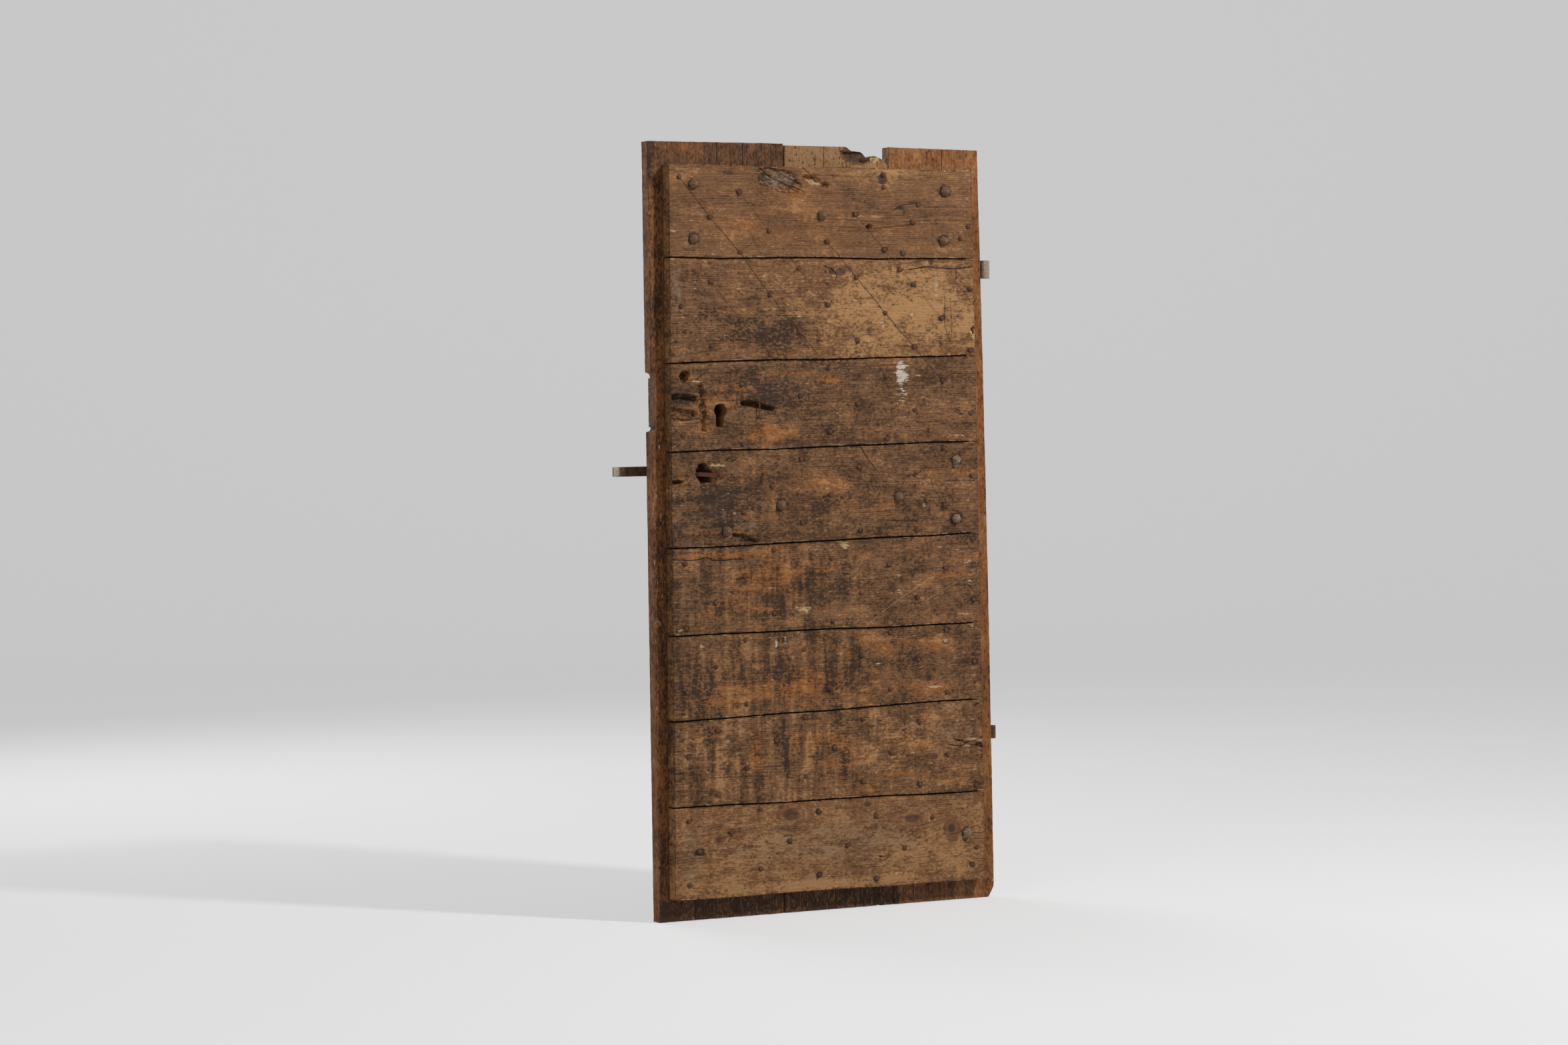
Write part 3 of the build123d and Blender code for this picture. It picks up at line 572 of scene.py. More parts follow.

# %% [markdown]
# ## What years of use left on the front, with painted light and shade
# Marks are listed in millimetres on the leaf. A patch is a soft blot: its middle, its half
# width and half height, and its strength. A line is a row of points with a strength. Each kind of
# mark becomes one value at every point of the mesh, and the material gives it its colour.

# %% List the patches
PATCHES = {
    # The tone patches are the wood's own lighter and darker places, and partly painted light: the bright
    # patch at 640, 1375 is partly a painted pool of light, and the dark patches on the left are partly
    # painted shade.
    "tone": (
        (620, 1600, 170, 38, -0.5), (420, 1690, 380, 7, 0.5), (640, 1688, 190, 14, 0.5),
        (120, 1640, 90, 50, -0.1), (100, 1370, 90, 105, -0.6), (280, 1320, 150, 60, -0.7),
        (640, 1375, 260, 130, 1.0), (790, 1330, 40, 70, 0.6), (265, 1195, 150, 60, -0.8),
        (500, 1110, 200, 40, -0.2), (725, 1120, 100, 90, 0.1), (120, 930, 100, 75, -0.9),
        (400, 960, 180, 80, 0.0), (730, 960, 100, 90, 0.25), (80, 740, 52, 45, -0.35),
        (310, 705, 12, 70, -0.6), (430, 710, 12, 30, -0.6), (458, 750, 22, 62, -0.7),
        (110, 550, 55, 72, -0.5), (450, 540, 60, 42, -0.6), (202, 560, 10, 62, -0.6),
        (300, 565, 28, 76, -0.6), (110, 415, 24, 40, -0.6), (310, 385, 32, 66, -0.6),
        (467, 330, 14, 72, -0.5), (580, 380, 120, 70, 0.4), (300, 150, 280, 90, 0.35),
        (660, 120, 180, 70, 0.5), (400, 64, 390, 16, 0.9), (742, 160, 26, 32, -0.6),
        (400, 1072, 380, 6, -0.6), (400, 1240, 380, 10, -0.4), (600, 655, 240, 7, 0.2),
        (400, 640, 380, 8, -0.3),
    ),
    "warm": (
        (300, 1590, 300, 100, 0.25), (620, 1555, 120, 20, 0.35), (270, 1090, 80, 24, 1.0),
        (200, 1180, 110, 45, 0.45), (110, 1150, 17, 58, 0.9), (45, 990, 32, 12, 0.9),
        (400, 960, 160, 60, 0.35), (150, 821, 125, 9, 1.0), (300, 760, 150, 55, 0.6),
        (330, 520, 290, 58, 0.6), (560, 600, 300, 30, 0.45), (232, 375, 22, 66, 0.7),
        (400, 380, 160, 55, 0.4), (95, 120, 34, 70, 0.3), (60, 1225, 30, 18, 0.7),
        (680, 500, 130, 30, 0.45), (560, 930, 60, 30, 0.3), (700, 1450, 110, 30, 0.25),
        (180, 700, 90, 40, 0.4),
    ),
    "soot": (
        (285, 1320, 150, 62, 1.0), (110, 1350, 70, 90, 0.5), (265, 1190, 150, 60, 0.95),
        (140, 930, 115, 72, 1.15), (85, 740, 50, 42, 0.5), (312, 705, 13, 66, 0.8),
        (424, 708, 10, 30, 0.8), (458, 750, 21, 62, 0.9), (110, 550, 54, 74, 0.8),
        (450, 540, 54, 44, 0.8), (202, 560, 9, 62, 0.9), (300, 565, 28, 76, 0.9), (110, 415, 22, 38, 0.8),
        (310, 385, 32, 66, 0.8), (467, 330, 13, 72, 0.8), (250, 160, 120, 60, 0.25),
        (560, 930, 160, 70, 0.25), (640, 620, 12, 26, 0.6), (600, 560, 60, 30, 0.35),
        (620, 405, 30, 45, 0.4),
    ),
    "grey": (
        (316, 1666, 64, 28, 1.0), (50, 1418, 17, 70, 0.6), (225, 888, 46, 17, 0.6),
        (648, 988, 16, 8, 0.7), (205, 859, 26, 9, 0.8), (72, 150, 48, 90, 0.6), (430, 150, 400, 105, 0.5),
        (760, 400, 60, 50, 0.4), (620, 410, 60, 40, 0.35), (780, 620, 45, 18, 0.4),
        (60, 700, 35, 60, 0.3), (330, 1665, 70, 26, 0.4),
    ),
    "pale": (
        (408, 1659, 32, 9, 0.9), (44, 1547, 10, 4, 0.9), (207, 1420, 24, 3, 0.7), (509, 1394, 9, 6, 0.9),
        (390, 1410, 10, 4, 0.6), (360, 1357, 11, 3, 0.6), (437, 1345, 8, 3, 0.7),
        (165, 1315, 25, 10, 0.45), (821, 1314, 15, 22, 1.0), (752, 1161, 17, 6, 0.6),
        (780, 1080, 35, 3, 0.5), (705, 1180, 7, 2, 0.7), (682, 923, 8, 8, 0.7), (392, 888, 13, 2, 0.7),
        (515, 1058, 16, 4, 0.8), (469, 834, 19, 14, 0.9), (360, 692, 26, 8, 1.0), (796, 786, 16, 9, 0.5),
        (800, 740, 15, 7, 0.6), (610, 761, 11, 4, 0.6), (613, 723, 8, 7, 0.6), (710, 502, 24, 4, 0.9),
        (660, 518, 7, 2, 0.8), (805, 632, 24, 8, 0.7), (735, 604, 15, 7, 0.6), (804, 370, 32, 11, 0.9),
        (638, 437, 9, 7, 0.8), (640, 383, 10, 2, 0.7), (588, 345, 18, 2, 0.6), (595, 78, 26, 4, 0.9),
        (788, 668, 34, 3, 0.8), (620, 1160, 26, 60, 0.4), (48, 656, 16, 3, 0.9), (395, 768, 26, 2, 0.6),
        (100, 1212, 20, 5, 0.7), (140, 1022, 26, 6, 0.7), (98, 618, 12, 8, 0.7), (630, 1300, 14, 60, 0.2),
        (560, 725, 9, 2, 0.7), (640, 693, 14, 2, 0.6),
    ),
    "lime": (
        (625, 1215, 20, 42, 1.15), (612, 1170, 5, 30, 0.5), (638, 1180, 4, 26, 0.5),
        (577, 1346, 7, 22, 0.6), (657, 1350, 8, 52, 0.4), (720, 1425, 6, 52, 0.5), (288, 607, 4, 28, 0.9),
        (312, 617, 4, 18, 0.7), (768, 1012, 14, 10, 0.5), (766, 876, 12, 10, 0.4), (500, 1388, 9, 5, 0.4),
        (460, 1440, 8, 12, 0.4), (614, 723, 8, 7, 0.6), (800, 740, 14, 6, 0.5), (795, 787, 14, 8, 0.4),
        (690, 535, 8, 12, 0.3),
    ),
    "stain": (
        (583, 1672, 19, 20, 1.0), (183, 1678, 24, 8, 0.7), (455, 1675, 22, 9, 0.7),
        (710, 1673, 16, 8, 0.6), (785, 1667, 11, 7, 0.5), (780, 1541, 11, 3, 0.7), (790, 1520, 9, 3, 0.5),
        (628, 1603, 15, 8, 0.9), (451, 1459, 34, 19, 0.8), (595, 1468, 8, 4, 0.8), (625, 1467, 8, 5, 0.8),
        (775, 1450, 6, 12, 0.8), (725, 1458, 9, 26, 0.5), (60, 1217, 8, 6, 0.9), (70, 1232, 14, 6, 0.6),
        (463, 944, 7, 5, 1.0), (550, 930, 15, 4, 0.8), (360, 885, 10, 5, 0.7), (188, 765, 18, 5, 0.8),
        (152, 713, 20, 5, 0.7), (583, 783, 15, 5, 0.8), (685, 527, 10, 17, 0.6), (786, 141, 16, 11, 0.8),
        (740, 160, 15, 28, 0.45), (187, 168, 17, 5, 0.7), (600, 638, 18, 4, 0.7), (432, 663, 22, 8, 0.5),
        (96, 1218, 7, 4, 0.6), (125, 1100, 4, 4, 0.9), (135, 1085, 4, 3, 0.9), (100, 1085, 4, 3, 0.8),
        (155, 1146, 30, 30, 0.55), (765, 1290, 10, 40, 0.3), (105, 633, 9, 8, 0.7),
        (808, 574, 12, 4, 0.7), (816, 455, 14, 8, 0.8), (66, 518, 14, 5, 0.6), (424, 515, 24, 12, 0.5),
        (350, 955, 10, 4, 0.4), (205, 1484, 9, 4, 0.5),
    ),
}


def strewn(count, seed, up, half_across, half_up, strength):
    """Small marks along the grain, too many to list, at random places between two heights."""
    rng = np.random.default_rng(seed)
    limits = np.array([(36, 820), up, half_across, half_up, strength])
    return tuple(tuple(row) for row in rng.uniform(limits[:, 0], limits[:, 1], (count, 5)).round(2).tolist())


PATCHES["pale"] += strewn(80, 1, (262, 1480), (3, 13), (1.0, 2.8), (0.35, 0.8))
PATCHES["stain"] += strewn(70, 2, (262, 1480), (3, 12), (1.2, 3.2), (0.4, 0.8))
PATCHES["soot"] += strewn(60, 3, (262, 1300), (8, 34), (5, 17), (0.35, 0.85))
PATCHES["warm"] += strewn(50, 4, (262, 1300), (18, 75), (3, 10), (0.4, 0.95))
PATCHES["tone"] += strewn(50, 5, (60, 1690), (15, 70), (3, 11), (0.3, 0.7))
PATCHES["tone"] += strewn(50, 6, (60, 1690), (12, 60), (3, 12), (-0.65, -0.3))
print({kind: len(marks) for kind, marks in PATCHES.items()})

# %% List the lines and the knots
LINES = {
    "scribe": (
        (1.0, (370, 1697), (412, 1664)), (0.5, (240, 1540), (262, 1500)), (0.5, (240, 690), (172, 662)),
    ),
    "split": (
        (0.8, (375, 1640), (350, 1650), (320, 1660), (298, 1668), (268, 1690)),
        (0.7, (258, 1686), (290, 1672), (330, 1655), (362, 1638)),
        (0.7, (282, 1698), (302, 1688), (342, 1668), (372, 1655)),
        (0.7, (612, 1600), (640, 1612), (680, 1616)),
        (1.0, (648, 1463), (700, 1470), (760, 1465), (820, 1469)),
        (0.9, (430, 1470), (450, 1462), (461, 1449), (456, 1438)),
        (0.8, (28, 1171), (62, 1175), (100, 1169)), (0.8, (28, 1131), (66, 1125), (100, 1129)),
        (0.8, (513, 1062), (530, 1036), (552, 1008)), (0.7, (633, 986), (648, 992), (664, 984)),
        (1.0, (28, 815), (75, 811), (117, 817), (129, 809), (205, 811)),
        (0.9, (738, 366), (770, 360), (832, 378)), (0.5, (30, 1398), (52, 1392)),
        (0.5, (740, 1480), (700, 1484), (640, 1478)), (0.5, (455, 1561), (560, 1556), (660, 1566)),
        (0.4, (60, 1270), (160, 1284)), (0.5, (28, 1343), (54, 1340)), (0.5, (560, 890), (660, 884)),
        (0.4, (640, 770), (830, 782)), (0.5, (300, 650), (480, 652)),
        (0.6, (745, 1400), (742, 1340), (755, 1297)), (0.5, (758, 1395), (763, 1330), (757, 1297)),
        (0.4, (360, 772), (500, 768)), (0.5, (520, 1240), (640, 1246)), (0.5, (120, 322), (260, 318)),
    ),
    "scratch": (
        (0.9, (520, 645), (560, 675), (670, 740), (742, 776)), (0.7, (680, 700), (740, 730), (832, 768)),
        (0.6, (190, 612), (240, 562)), (0.5, (60, 510), (96, 460)), (0.5, (470, 480), (520, 512)),
        (0.6, (480, 1383), (600, 1383)), (0.5, (160, 690), (172, 662)), (0.4, (660, 718), (700, 742)),
        (0.4, (700, 1180), (760, 1130)), (0.5, (640, 1300), (700, 1310)), (0.5, (185, 500), (210, 470)),
    ),
}
KNOTS = (
    (470, 1458, 18, 13), (550, 930, 13, 4), (685, 527, 14, 18), (735, 604, 14, 9), (320, 228, 28, 20),
    (520, 240, 15, 9), (638, 200, 30, 14), (743, 172, 14, 13), (135, 182, 11, 9), (583, 1672, 15, 14),
    (708, 1480, 10, 9), (318, 1012, 12, 7), (700, 340, 14, 10), (250, 925, 12, 7), (610, 1080, 12, 8),
)


def setting_out():
    """Lines scribed from nail to nail on the upper boards, stronger where they fall to the right."""
    lines = []
    for a, u, *_ in SMALL_NAILS:
        for b, v, *_ in SMALL_NAILS:
            if 60 < b - a < 90 and min(u, v) > 1190:
                strength = 0.65 + 0.3 * math.sin(a / 50 + u / 90)
                if -112 < v - u < -60:
                    lines.append((strength, (a, u), (b, v)))
                elif 35 < v - u < 80:
                    lines.append((strength * 0.45, (a, u), (b, v)))
    return tuple(lines)


LINES["scribe"] += setting_out()
print({kind: len(marks) for kind, marks in LINES.items()}, "and", len(KNOTS), "knots")

# %% Turn the marks into values at points
PATCH_EDGES = {
    "tone": (0.0, 1.35, 0.5), "warm": (0.1, 1.3, 0.5), "soot": (0.0, 1.35, 0.5), "grey": (0.2, 1.2, 0.5),
    "pale": (0.3, 1.15, 0.7), "lime": (0.2, 1.1, 0.8), "stain": (0.3, 1.2, 0.45),
}


def patch_field(kind, across, up, low, high, seed):
    """The strongest of a kind's patches at each point, for patches between two heights."""
    total = np.zeros(len(across))
    inner, outer, amount = PATCH_EDGES[kind]
    ragged = amount * plane_noise(across / 26, up / 9, seed, 4)
    for middle, height, half_across, half_up, strength in PATCHES[kind]:
        if low < height < high:
            reach = np.hypot((across - middle) / half_across, (up - height) / half_up) + ragged
            value = strength * (1 - step_up(reach, inner, outer))
            total = np.where(np.abs(value) > np.abs(total), value, total)
    return total


LINE_REACH = 12.0
LINE_ROOM = 8


def fade_out(away):
    """1 on a line and near it, and 0 a few millimetres away."""
    return 1 - step_up(away, 3.0, 5.5)


def line_field(kind, across, up, seed):
    """Signed distance in metres to the nearest line of a kind, and its strength near here."""
    across = across + 1.2 * plane_noise(across / 14, up / 14, seed, 2)
    up = up + 1.2 * plane_noise(across / 18, up / 18, seed + 1, 3)
    best, gap, strength = np.full(len(up), LINE_REACH), np.full(len(up), LINE_REACH), np.zeros(len(up))
    for force, *corners in LINES[kind]:
        for (a, u), (b, v) in zip(corners, corners[1:]):
            near = (across > min(a, b) - LINE_ROOM) & (across < max(a, b) + LINE_ROOM)
            near &= (up > min(u, v) - LINE_ROOM) & (up < max(u, v) + LINE_ROOM)
            run = np.array([b - a, v - u])
            dx, dz = across[near] - a, up[near] - u
            share = np.clip((dx * run[0] + dz * run[1]) / (run @ run), 0, 1)
            away = np.hypot(dx - share * run[0], dz - share * run[1])
            closer = away < best[near]
            spots = np.flatnonzero(near)[closer]
            side = np.sign(run[0] * dz - run[1] * dx)[closer]
            best[spots], gap[spots], strength[spots] = away[closer], (away[closer] * side), force
    return gap * MM, strength * fade_out(best)


def nail_stains(board, nails):
    """Dark halos about the nails, partly iron stain and partly painted shadow of the heads, with a faint run
    below each.
    """
    stain = np.zeros(len(board.up))
    for index, (across, up, width, _) in enumerate(nails):
        near = (np.abs(board.across - across) < 45) & (np.abs(board.up - up) < 60)
        dx, dz = board.across[near] - across, board.up[near] - up
        strength = 1.15 + 0.25 * math.sin(index * 2.3)
        # The halo round each head is iron stain and painted shadow. The run below leans to the left, as the
        # heads' shadows from the key lamp do, and is painted shadow as well as stain.
        stain_and_shadow_halo = strength * np.exp(-((np.hypot(dx * 0.8, dz) / (width * 0.75)) ** 2))
        run = 0.75 * np.exp(-(((dx - dz * 0.2) / (width * 0.3)) ** 2))
        run = run * np.exp(np.minimum(dz, 0) / 16) * (dz < 0)
        stain[near] = np.maximum(stain[near], np.maximum(stain_and_shadow_halo, run))
    return stain


sample = patch_field("lime", np.array([625.0]), np.array([1215.0]), 1100, 1300, 1)
print("limewash in the middle of its largest patch", sample.round(2))

# %% [markdown]
# ## The grain in a board
# A flat-sawn board cuts the tree's rings as nested cylinders. So the ring coordinate is the
# distance from a pith that lies behind the board and comes nearer or drifts away along it. Knots
# push the fibres aside, and the same coordinates give the arcs on the end grain.

# %% Rings, fibres and knots
def grain(board, along, cross, seed, pith=(0, 40)):
    """Ring and fibre coordinates in metres: distance from the pith, and place across the fibres."""
    bend = 5 * plane_noise(along / 260, cross / 160, seed, 2)
    bend = bend + 1.2 * plane_noise(along / 70, cross / 40, seed + 1, 3)
    cross = cross + bend
    for across, up, half_across, half_up in board.knots:
        dx, dz = board.across - across, board.up - up
        push = half_up * np.exp(-((dx / (half_across * 1.9)) ** 2)) * np.exp(-np.abs(dz) / (half_up * 2.4))
        cross = cross - push * np.tanh(dz / (0.45 * half_up)) * 0.9
    middle = (cross.min() + cross.max()) / 2 + pith[0]
    behind = pith[1] + 14 * plane_noise(along / 420, seed * 0.37, seed + 2, 2) + board.depth * 0.8
    return np.hypot(cross - middle, behind) * MM, cross * MM


def knot_field(board):
    """1 in the middle of a knot and 0 outside it."""
    field = np.zeros(len(board.up))
    for across, up, half_across, half_up in board.knots:
        reach = np.hypot((board.across - across) / half_across, (board.up - up) / half_up)
        field = np.maximum(field, 1 - step_up(reach, 0.35, 1.15))
    return field


print("knots on board 1", sum(1500 < up for _, up, _, _ in KNOTS))

# %% [markdown]
# ## Old pine
# Pine shows dark late wood in rings, fine fibres, and dirt that has settled in speckles. The mesh
# carries the ring and fibre coordinates, so noise can be stretched along the grain and follow it
# round the knots. It also carries the marks of use and some painted light and shade, and finer
# noise breaks their outlines up. The colours go on in coats, from clean wood over dirt and bleached fibres to
# the lines of the splits.

# %% Noise and lines that follow the grain
def streaks(paint, along):
    """A maker of noise that follows the grain, which runs along axis 0 or 2 of the frame."""
    spot = paint.node("TexCoord", {}, {}, "Object")
    run, deep = (paint.node("SeparateXYZ", {}, {0: spot}, axis) for axis in (along, 1))
    here = paint.node("CombineXYZ", {}, {0: run, 1: paint.attributes("fibre")[0], 2: deep})
    return lambda scale, detail=4.0, roughness=0.6: paint.noise(here, scale, detail, roughness)


def drawn(paint, kind, width):
    """How much of a line of a kind lies at a point, where it fades out at a width in metres."""
    gap, near = paint.attributes(kind, kind + "_near")
    return paint.range(gap.alone("ABSOLUTE"), width, width * 0.25) * near


# %% The pine material
RING = 0.0042
# The stain colour serves iron stains, the painted shadows about the nails and the darkening of deep pockets.
GREY_ROT, KNOT_WOOD, IRON_STAIN_AND_SHADOW = colour("7a6a58"), colour("3f281b"), colour("2a1d17")
BARE_WOOD, LIMEWASH = colour("c8a67d"), colour("cfc6b8")
CRACK, SCRATCH, GAP = colour("32211a"), colour("c9a276"), colour("120c09")
MARKS = ("ring", "tone", "warm", "grey", "soot", "pale", "lime", "stain", "knot", "busy", "drip")


def pine(name, along, colours):
    """Weathered pine, in five colours: late wood, early wood, orange, soot and bleached wood."""
    paint = Paint(name)
    dark, light, orange, soot, bleach = (colour(code) for code in colours.split())
    streak = streaks(paint, along)
    ring, tone, warm, grey, dirty, pale, lime, stain, knot, busy, drip = paint.attributes(*MARKS)
    turn = (ring * (1 / RING) + streak((2.0, 16.0, 16.0), 3.0) * 3.2).alone("FRACT")
    late = paint.range(turn, 0.25, 0.9) * paint.range(turn, 1.0, 0.93)
    broad = streak((1.4, 26.0, 30.0), 3.0)
    lines = streak((7.0, 420.0, 420.0), 3.0, 0.7)
    fuzz = streak((26.0, 1600.0, 1600.0), 2.0, 0.6)
    speck = streak((105.0, 180.0, 180.0), 5.0, 0.75) - 0.5
    cloud = streak((9.0, 17.0, 17.0), 4.0, 0.62) - 0.5
    blot = streak((40.0, 58.0, 58.0), 4.0, 0.7) - 0.5
    dash = streak((38.0, 260.0, 260.0), 3.0, 0.65) - 0.5
    runs = streak((48.0, 7.0, 7.0), 4.0, 0.6) - 0.5
    mottle = (speck * 3.9 + blot * 2.3 + cloud * 2.0) * busy + runs * drip
    chip = dash * 2.6 + speck * 2.0
    cracks = paint.range(streak((9.0, 190.0, 190.0), 5.0, 0.7), 0.61, 0.7) * 0.55
    split, scribe = drawn(paint, "split", 0.0016), drawn(paint, "scribe", 0.0015)
    wood = paint.layers(
        light,
        (late * 0.42 + paint.range(broad, 0.3, 0.7) * 0.3, dark),
        (paint.range(lines, 0.42, 0.62) * 0.42, dark),
        (paint.range(warm * 0.75 + cloud * 1.2 + blot * 0.9, 0.05, 0.65) * 0.85, orange),
        # Tone lightens the wood towards bleached wood and darkens it towards soot. Where the tone holds
        # painted light and shade, these two coats are painted light and painted shade.
        (paint.range(tone * 0.8 + mottle, 0.0, 0.85) * 0.65, bleach),
        (paint.range(tone * -0.8 - mottle, 0.0, 0.85) * 0.62, soot),
        (paint.range(grey + mottle * 0.5, 0.3, 0.95) * 0.7, GREY_ROT),
        (paint.range(dirty * 0.75 - mottle * 0.75 - speck * 1.5, 0.4, 0.68) * 0.66, soot),
        (paint.range(dash * 3.0 + blot, 0.42, 0.8) * 0.4, bleach),
        (paint.range(dash * -3.0 - blot, 0.42, 0.8) * 0.5, soot),
        (paint.range(knot + speck * 2.0, 0.35, 0.9) * 0.8, KNOT_WOOD),
        # Iron stain, with the painted shadows about the nail heads.
        (paint.range(stain - mottle * 0.5, 0.42, 0.95) * 0.85, IRON_STAIN_AND_SHADOW),
        (paint.range(pale + chip, 0.5, 0.95) * 0.85, BARE_WOOD),
        (paint.range(lime + chip, 0.55, 1.0) * 0.85, LIMEWASH),
        (cracks + scribe * 0.95, CRACK),
        (drawn(paint, "scratch", 0.0008) * 0.6, SCRATCH),
        (split * 0.92, GAP),
    )
    rough = paint.range(mottle, -0.4, 0.4, 0.8, 0.5)
    relief = lines * 0.8 + late * -0.2 + fuzz * 0.25 + cracks * -1.2
    relief = relief + scribe * -0.8 + split * -1.2 + dash * 0.8
    normal = paint.bump(relief, 0.0013)
    normal = paint.bump(speck + blot * 1.5, 0.002, 0.8, Normal=normal)
    return paint.finish(Base_Color=wood, Roughness=rough, Normal=normal, Specular_IOR_Level=0.3)


PINES = {
    "front pine": (0, "56361f 8a603b 9c602b 281a10 c2925f"),
    "back pine": (2, "54331e 855833 8f5527 2a1b10 b38858"),
    "ledge pine": (0, "4d3424 7c5b3c 845429 2c1f15 a07d57"),
    "lock wood": (0, "3f2a1c 6a4a30 6f4523 2a1f18 8d6f4e"),
}
FRONT_PINE, BACK_PINE, LEDGE_PINE, LOCK_WOOD = (pine(name, *values) for name, values in PINES.items())
print("nodes in the pine", len(FRONT_PINE.node_tree.nodes))

# %% [markdown]
# ## The front boards
# The eight front boards are thick pine, riven or sawn and then planed by hand. Their faces are
# slightly cupped, their arrises are worn round, and wood is lost at old locks, nails and knots.

# %% Read the lost wood from the CAD board
THROUGH = 27


def pocket_depth(tree, across, up, seed):
    """How deep the CAD board is cut away at each place, with a ragged outline, in millimetres.

    Deeper than THROUGH is a hole right through the board, which isn't a pocket.
    """
    shift_x = 3.0 * plane_noise(across / 7, up / 5, seed, 3)
    shift_z = 2.0 * plane_noise(across / 9, up / 4, seed + 1, 3)
    depth = np.zeros(len(across))
    for i, (a, u) in enumerate(zip(across + shift_x, up + shift_z)):
        hit = tree.ray_cast(point(a, u, 100), Vector((0, 1, 0)))[0]
        if hit:
            depth[i] = (hit.y - FACE_Y) / MM
    depth[depth > THROUGH] = 0
    return depth


lost = pocket_depth(tree_of("front_board_3"), np.array([60.0]), np.array([1130.0]), 1)
print("lost wood by the keyhole", lost)

# %% Shape a front board
STEP_ALONG = 3.0
STEP_ACROSS = 2.0
WALL = (5, 9, 15, 22, 29, 35)
PLANED_OFF = 0.9


def shape_front(number):
    """A front board as a dense mesh, with its pockets, its marks' values and its splits."""
    node = FRONT_BOARDS[number]
    low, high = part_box(node)
    columns = graded(STEP_ALONG, (high.x - low.x) / MM)
    rows = graded(STEP_ACROSS, (high.z - low.z) / MM)
    mesh = plank_net(node, columns, rows, WALL)
    outline = read_outline(node, SEAM_Y - 5 * MM, columns, rows)
    foot, head = (low.z - FOOT) / MM + 8, (high.z - FOOT) / MM - 8
    board = Board(columns, rows, outline, mesh, [knot for knot in KNOTS if foot < knot[1] < head])
    across, up, face, seed = board.across, board.up, board.face, 10 * number
    depth = np.zeros(len(up))
    depth[face] = pocket_depth(tree_of(node), across[face], up[face], 400 + seed)
    fields = {kind: patch_field(kind, across, up, foot, head, 500 + seed) for kind in PATCHES}
    pith = (25 * math.sin(number * 2.1), 26 + 9 * math.sin(number))
    fields["ring"], fields["fibre"] = grain(board, across, up, 600 + seed, pith)
    board.round_arris(1.7 + 1.0 * plane_noise(across / 30, up / 30, 60 + number, 3))
    weathered = 0.28 * plane_noise(across / 55, fields["fibre"] / MM / 3.2, 80 + number, 3)
    sag = 0.8 * plane_noise(across / 140, up / 70, 100 + number, 2)
    pits = 0.9 * step_up(plane_noise(across / 9, up / 5, 120 + number, 3), 0.36, 0.62)
    rotten = 2.6 * fields["grey"] * step_up(plane_noise(across / 12, up / 4, 130 + number, 3), -0.4, 0.4)
    chips = 1.3 * step_up(fields["pale"], 0.3, 0.85) + 1.0 * step_up(fields["stain"], 0.35, 0.8)
    inside = face * board.inside(0.2, 3)
    board.offset += inside * (depth + weathered + sag + pits + rotten + chips + PLANED_OFF)
    splits, split_near = line_field("split", across, up, 700)
    groove = split_near * (1 - step_up(np.abs(splits) / MM, 0.6, 2.6))
    board.offset += inside * 2.2 * groove
    fields.update(split=splits, split_near=split_near * face)
    board.roughen_edges(800 + seed, 0.9)
    board.place(FACE_Y)
    return board, depth, fields


# %% Mark a front board
BOARD_TONES = (0.02, 0, -0.35, -0.42, -0.32, -0.3, -0.08, 0.18)
BUSY = (0.6, 0.85, 1.0, 1.0, 1.0, 1.0, 0.95, 0.75)
DRIPS = (0.0, 0.6, 1.0, 1.4, 2.6, 3.2, 3.2, 0.6)


def mark_front(number, board, depth, fields):
    """Give a front board its dirt, wear and stains, painted shadows about its nails, painted light on its
    left end wall, and what differs from board to board.
    """
    across, up, face = board.across, board.up, board.face
    wall = ~face
    near_left = 1 - step_up(board.to_left, 4, 26)
    edge = 1 - step_up(board.to_side, 0.5, 4.5)
    wear = 0.6 * edge * (0.5 + plane_noise(across / 40, up / 20, 140 + number, 3))
    seam = 1 - step_up(board.to_side, 0.6, 4.5)
    ragged = plane_noise(up / 6, board.depth / 9, 150 + number, 4)
    # Near the left end, along the joints and inside pockets the wood is made darker. Pockets are also warmer,
    # and deeper than 7 mm they take the dark stain colour.
    fresh = step_up(depth, 0.5, 2.5)
    fields["pale"] = np.maximum(fields["pale"], wear * face) + 0.1 * fresh + 0.5 * wall * (ragged > 0.42)
    fields["tone"] += BOARD_TONES[number] - 0.15 * near_left - 0.25 * seam - 0.35 * fresh
    # The left end walls face away from the key lamp; raising their tone here is painted light.
    fields["tone"] += wall * (board.to_left < 1) * (0.6 * ragged + 0.45)
    darkening_at_ends_joints_pockets = 0.2 * near_left + 0.35 * seam + 0.7 * fresh
    fields["soot"] = fields["soot"] + darkening_at_ends_joints_pockets + wall * (0.1 - 0.5 * ragged)
    fields["warm"] = fields["warm"] + 0.4 * fresh + 0.15 * plane_noise(across / 120, up / 60, 160 + number, 3)
    # Iron stain and painted shadow about the nail heads.
    fields["stain"] = np.maximum(fields["stain"], nail_stains(board, SMALL_NAILS + LARGE_NAILS) * face)
    fields["stain"] = np.maximum(fields["stain"], 0.75 * step_up(depth, 7, 16))
    for kind, seed in (("scribe", 720), ("scratch", 740)):
        fields[kind], near = line_field(kind, across, up, seed)
        fields[kind + "_near"] = near * face
    drip = DRIPS[number] * (1 - 0.7 * step_up(across, 330, 620))
    board.carry(busy=BUSY[number], drip=drip, knot=knot_field(board) * face, **fields)
    return board.mesh


FRONT_MESHES = [mark_front(number, *shape_front(number)) for number in range(8)]
print("front boards", sum(len(mesh.polygons) for mesh in FRONT_MESHES), "faces")

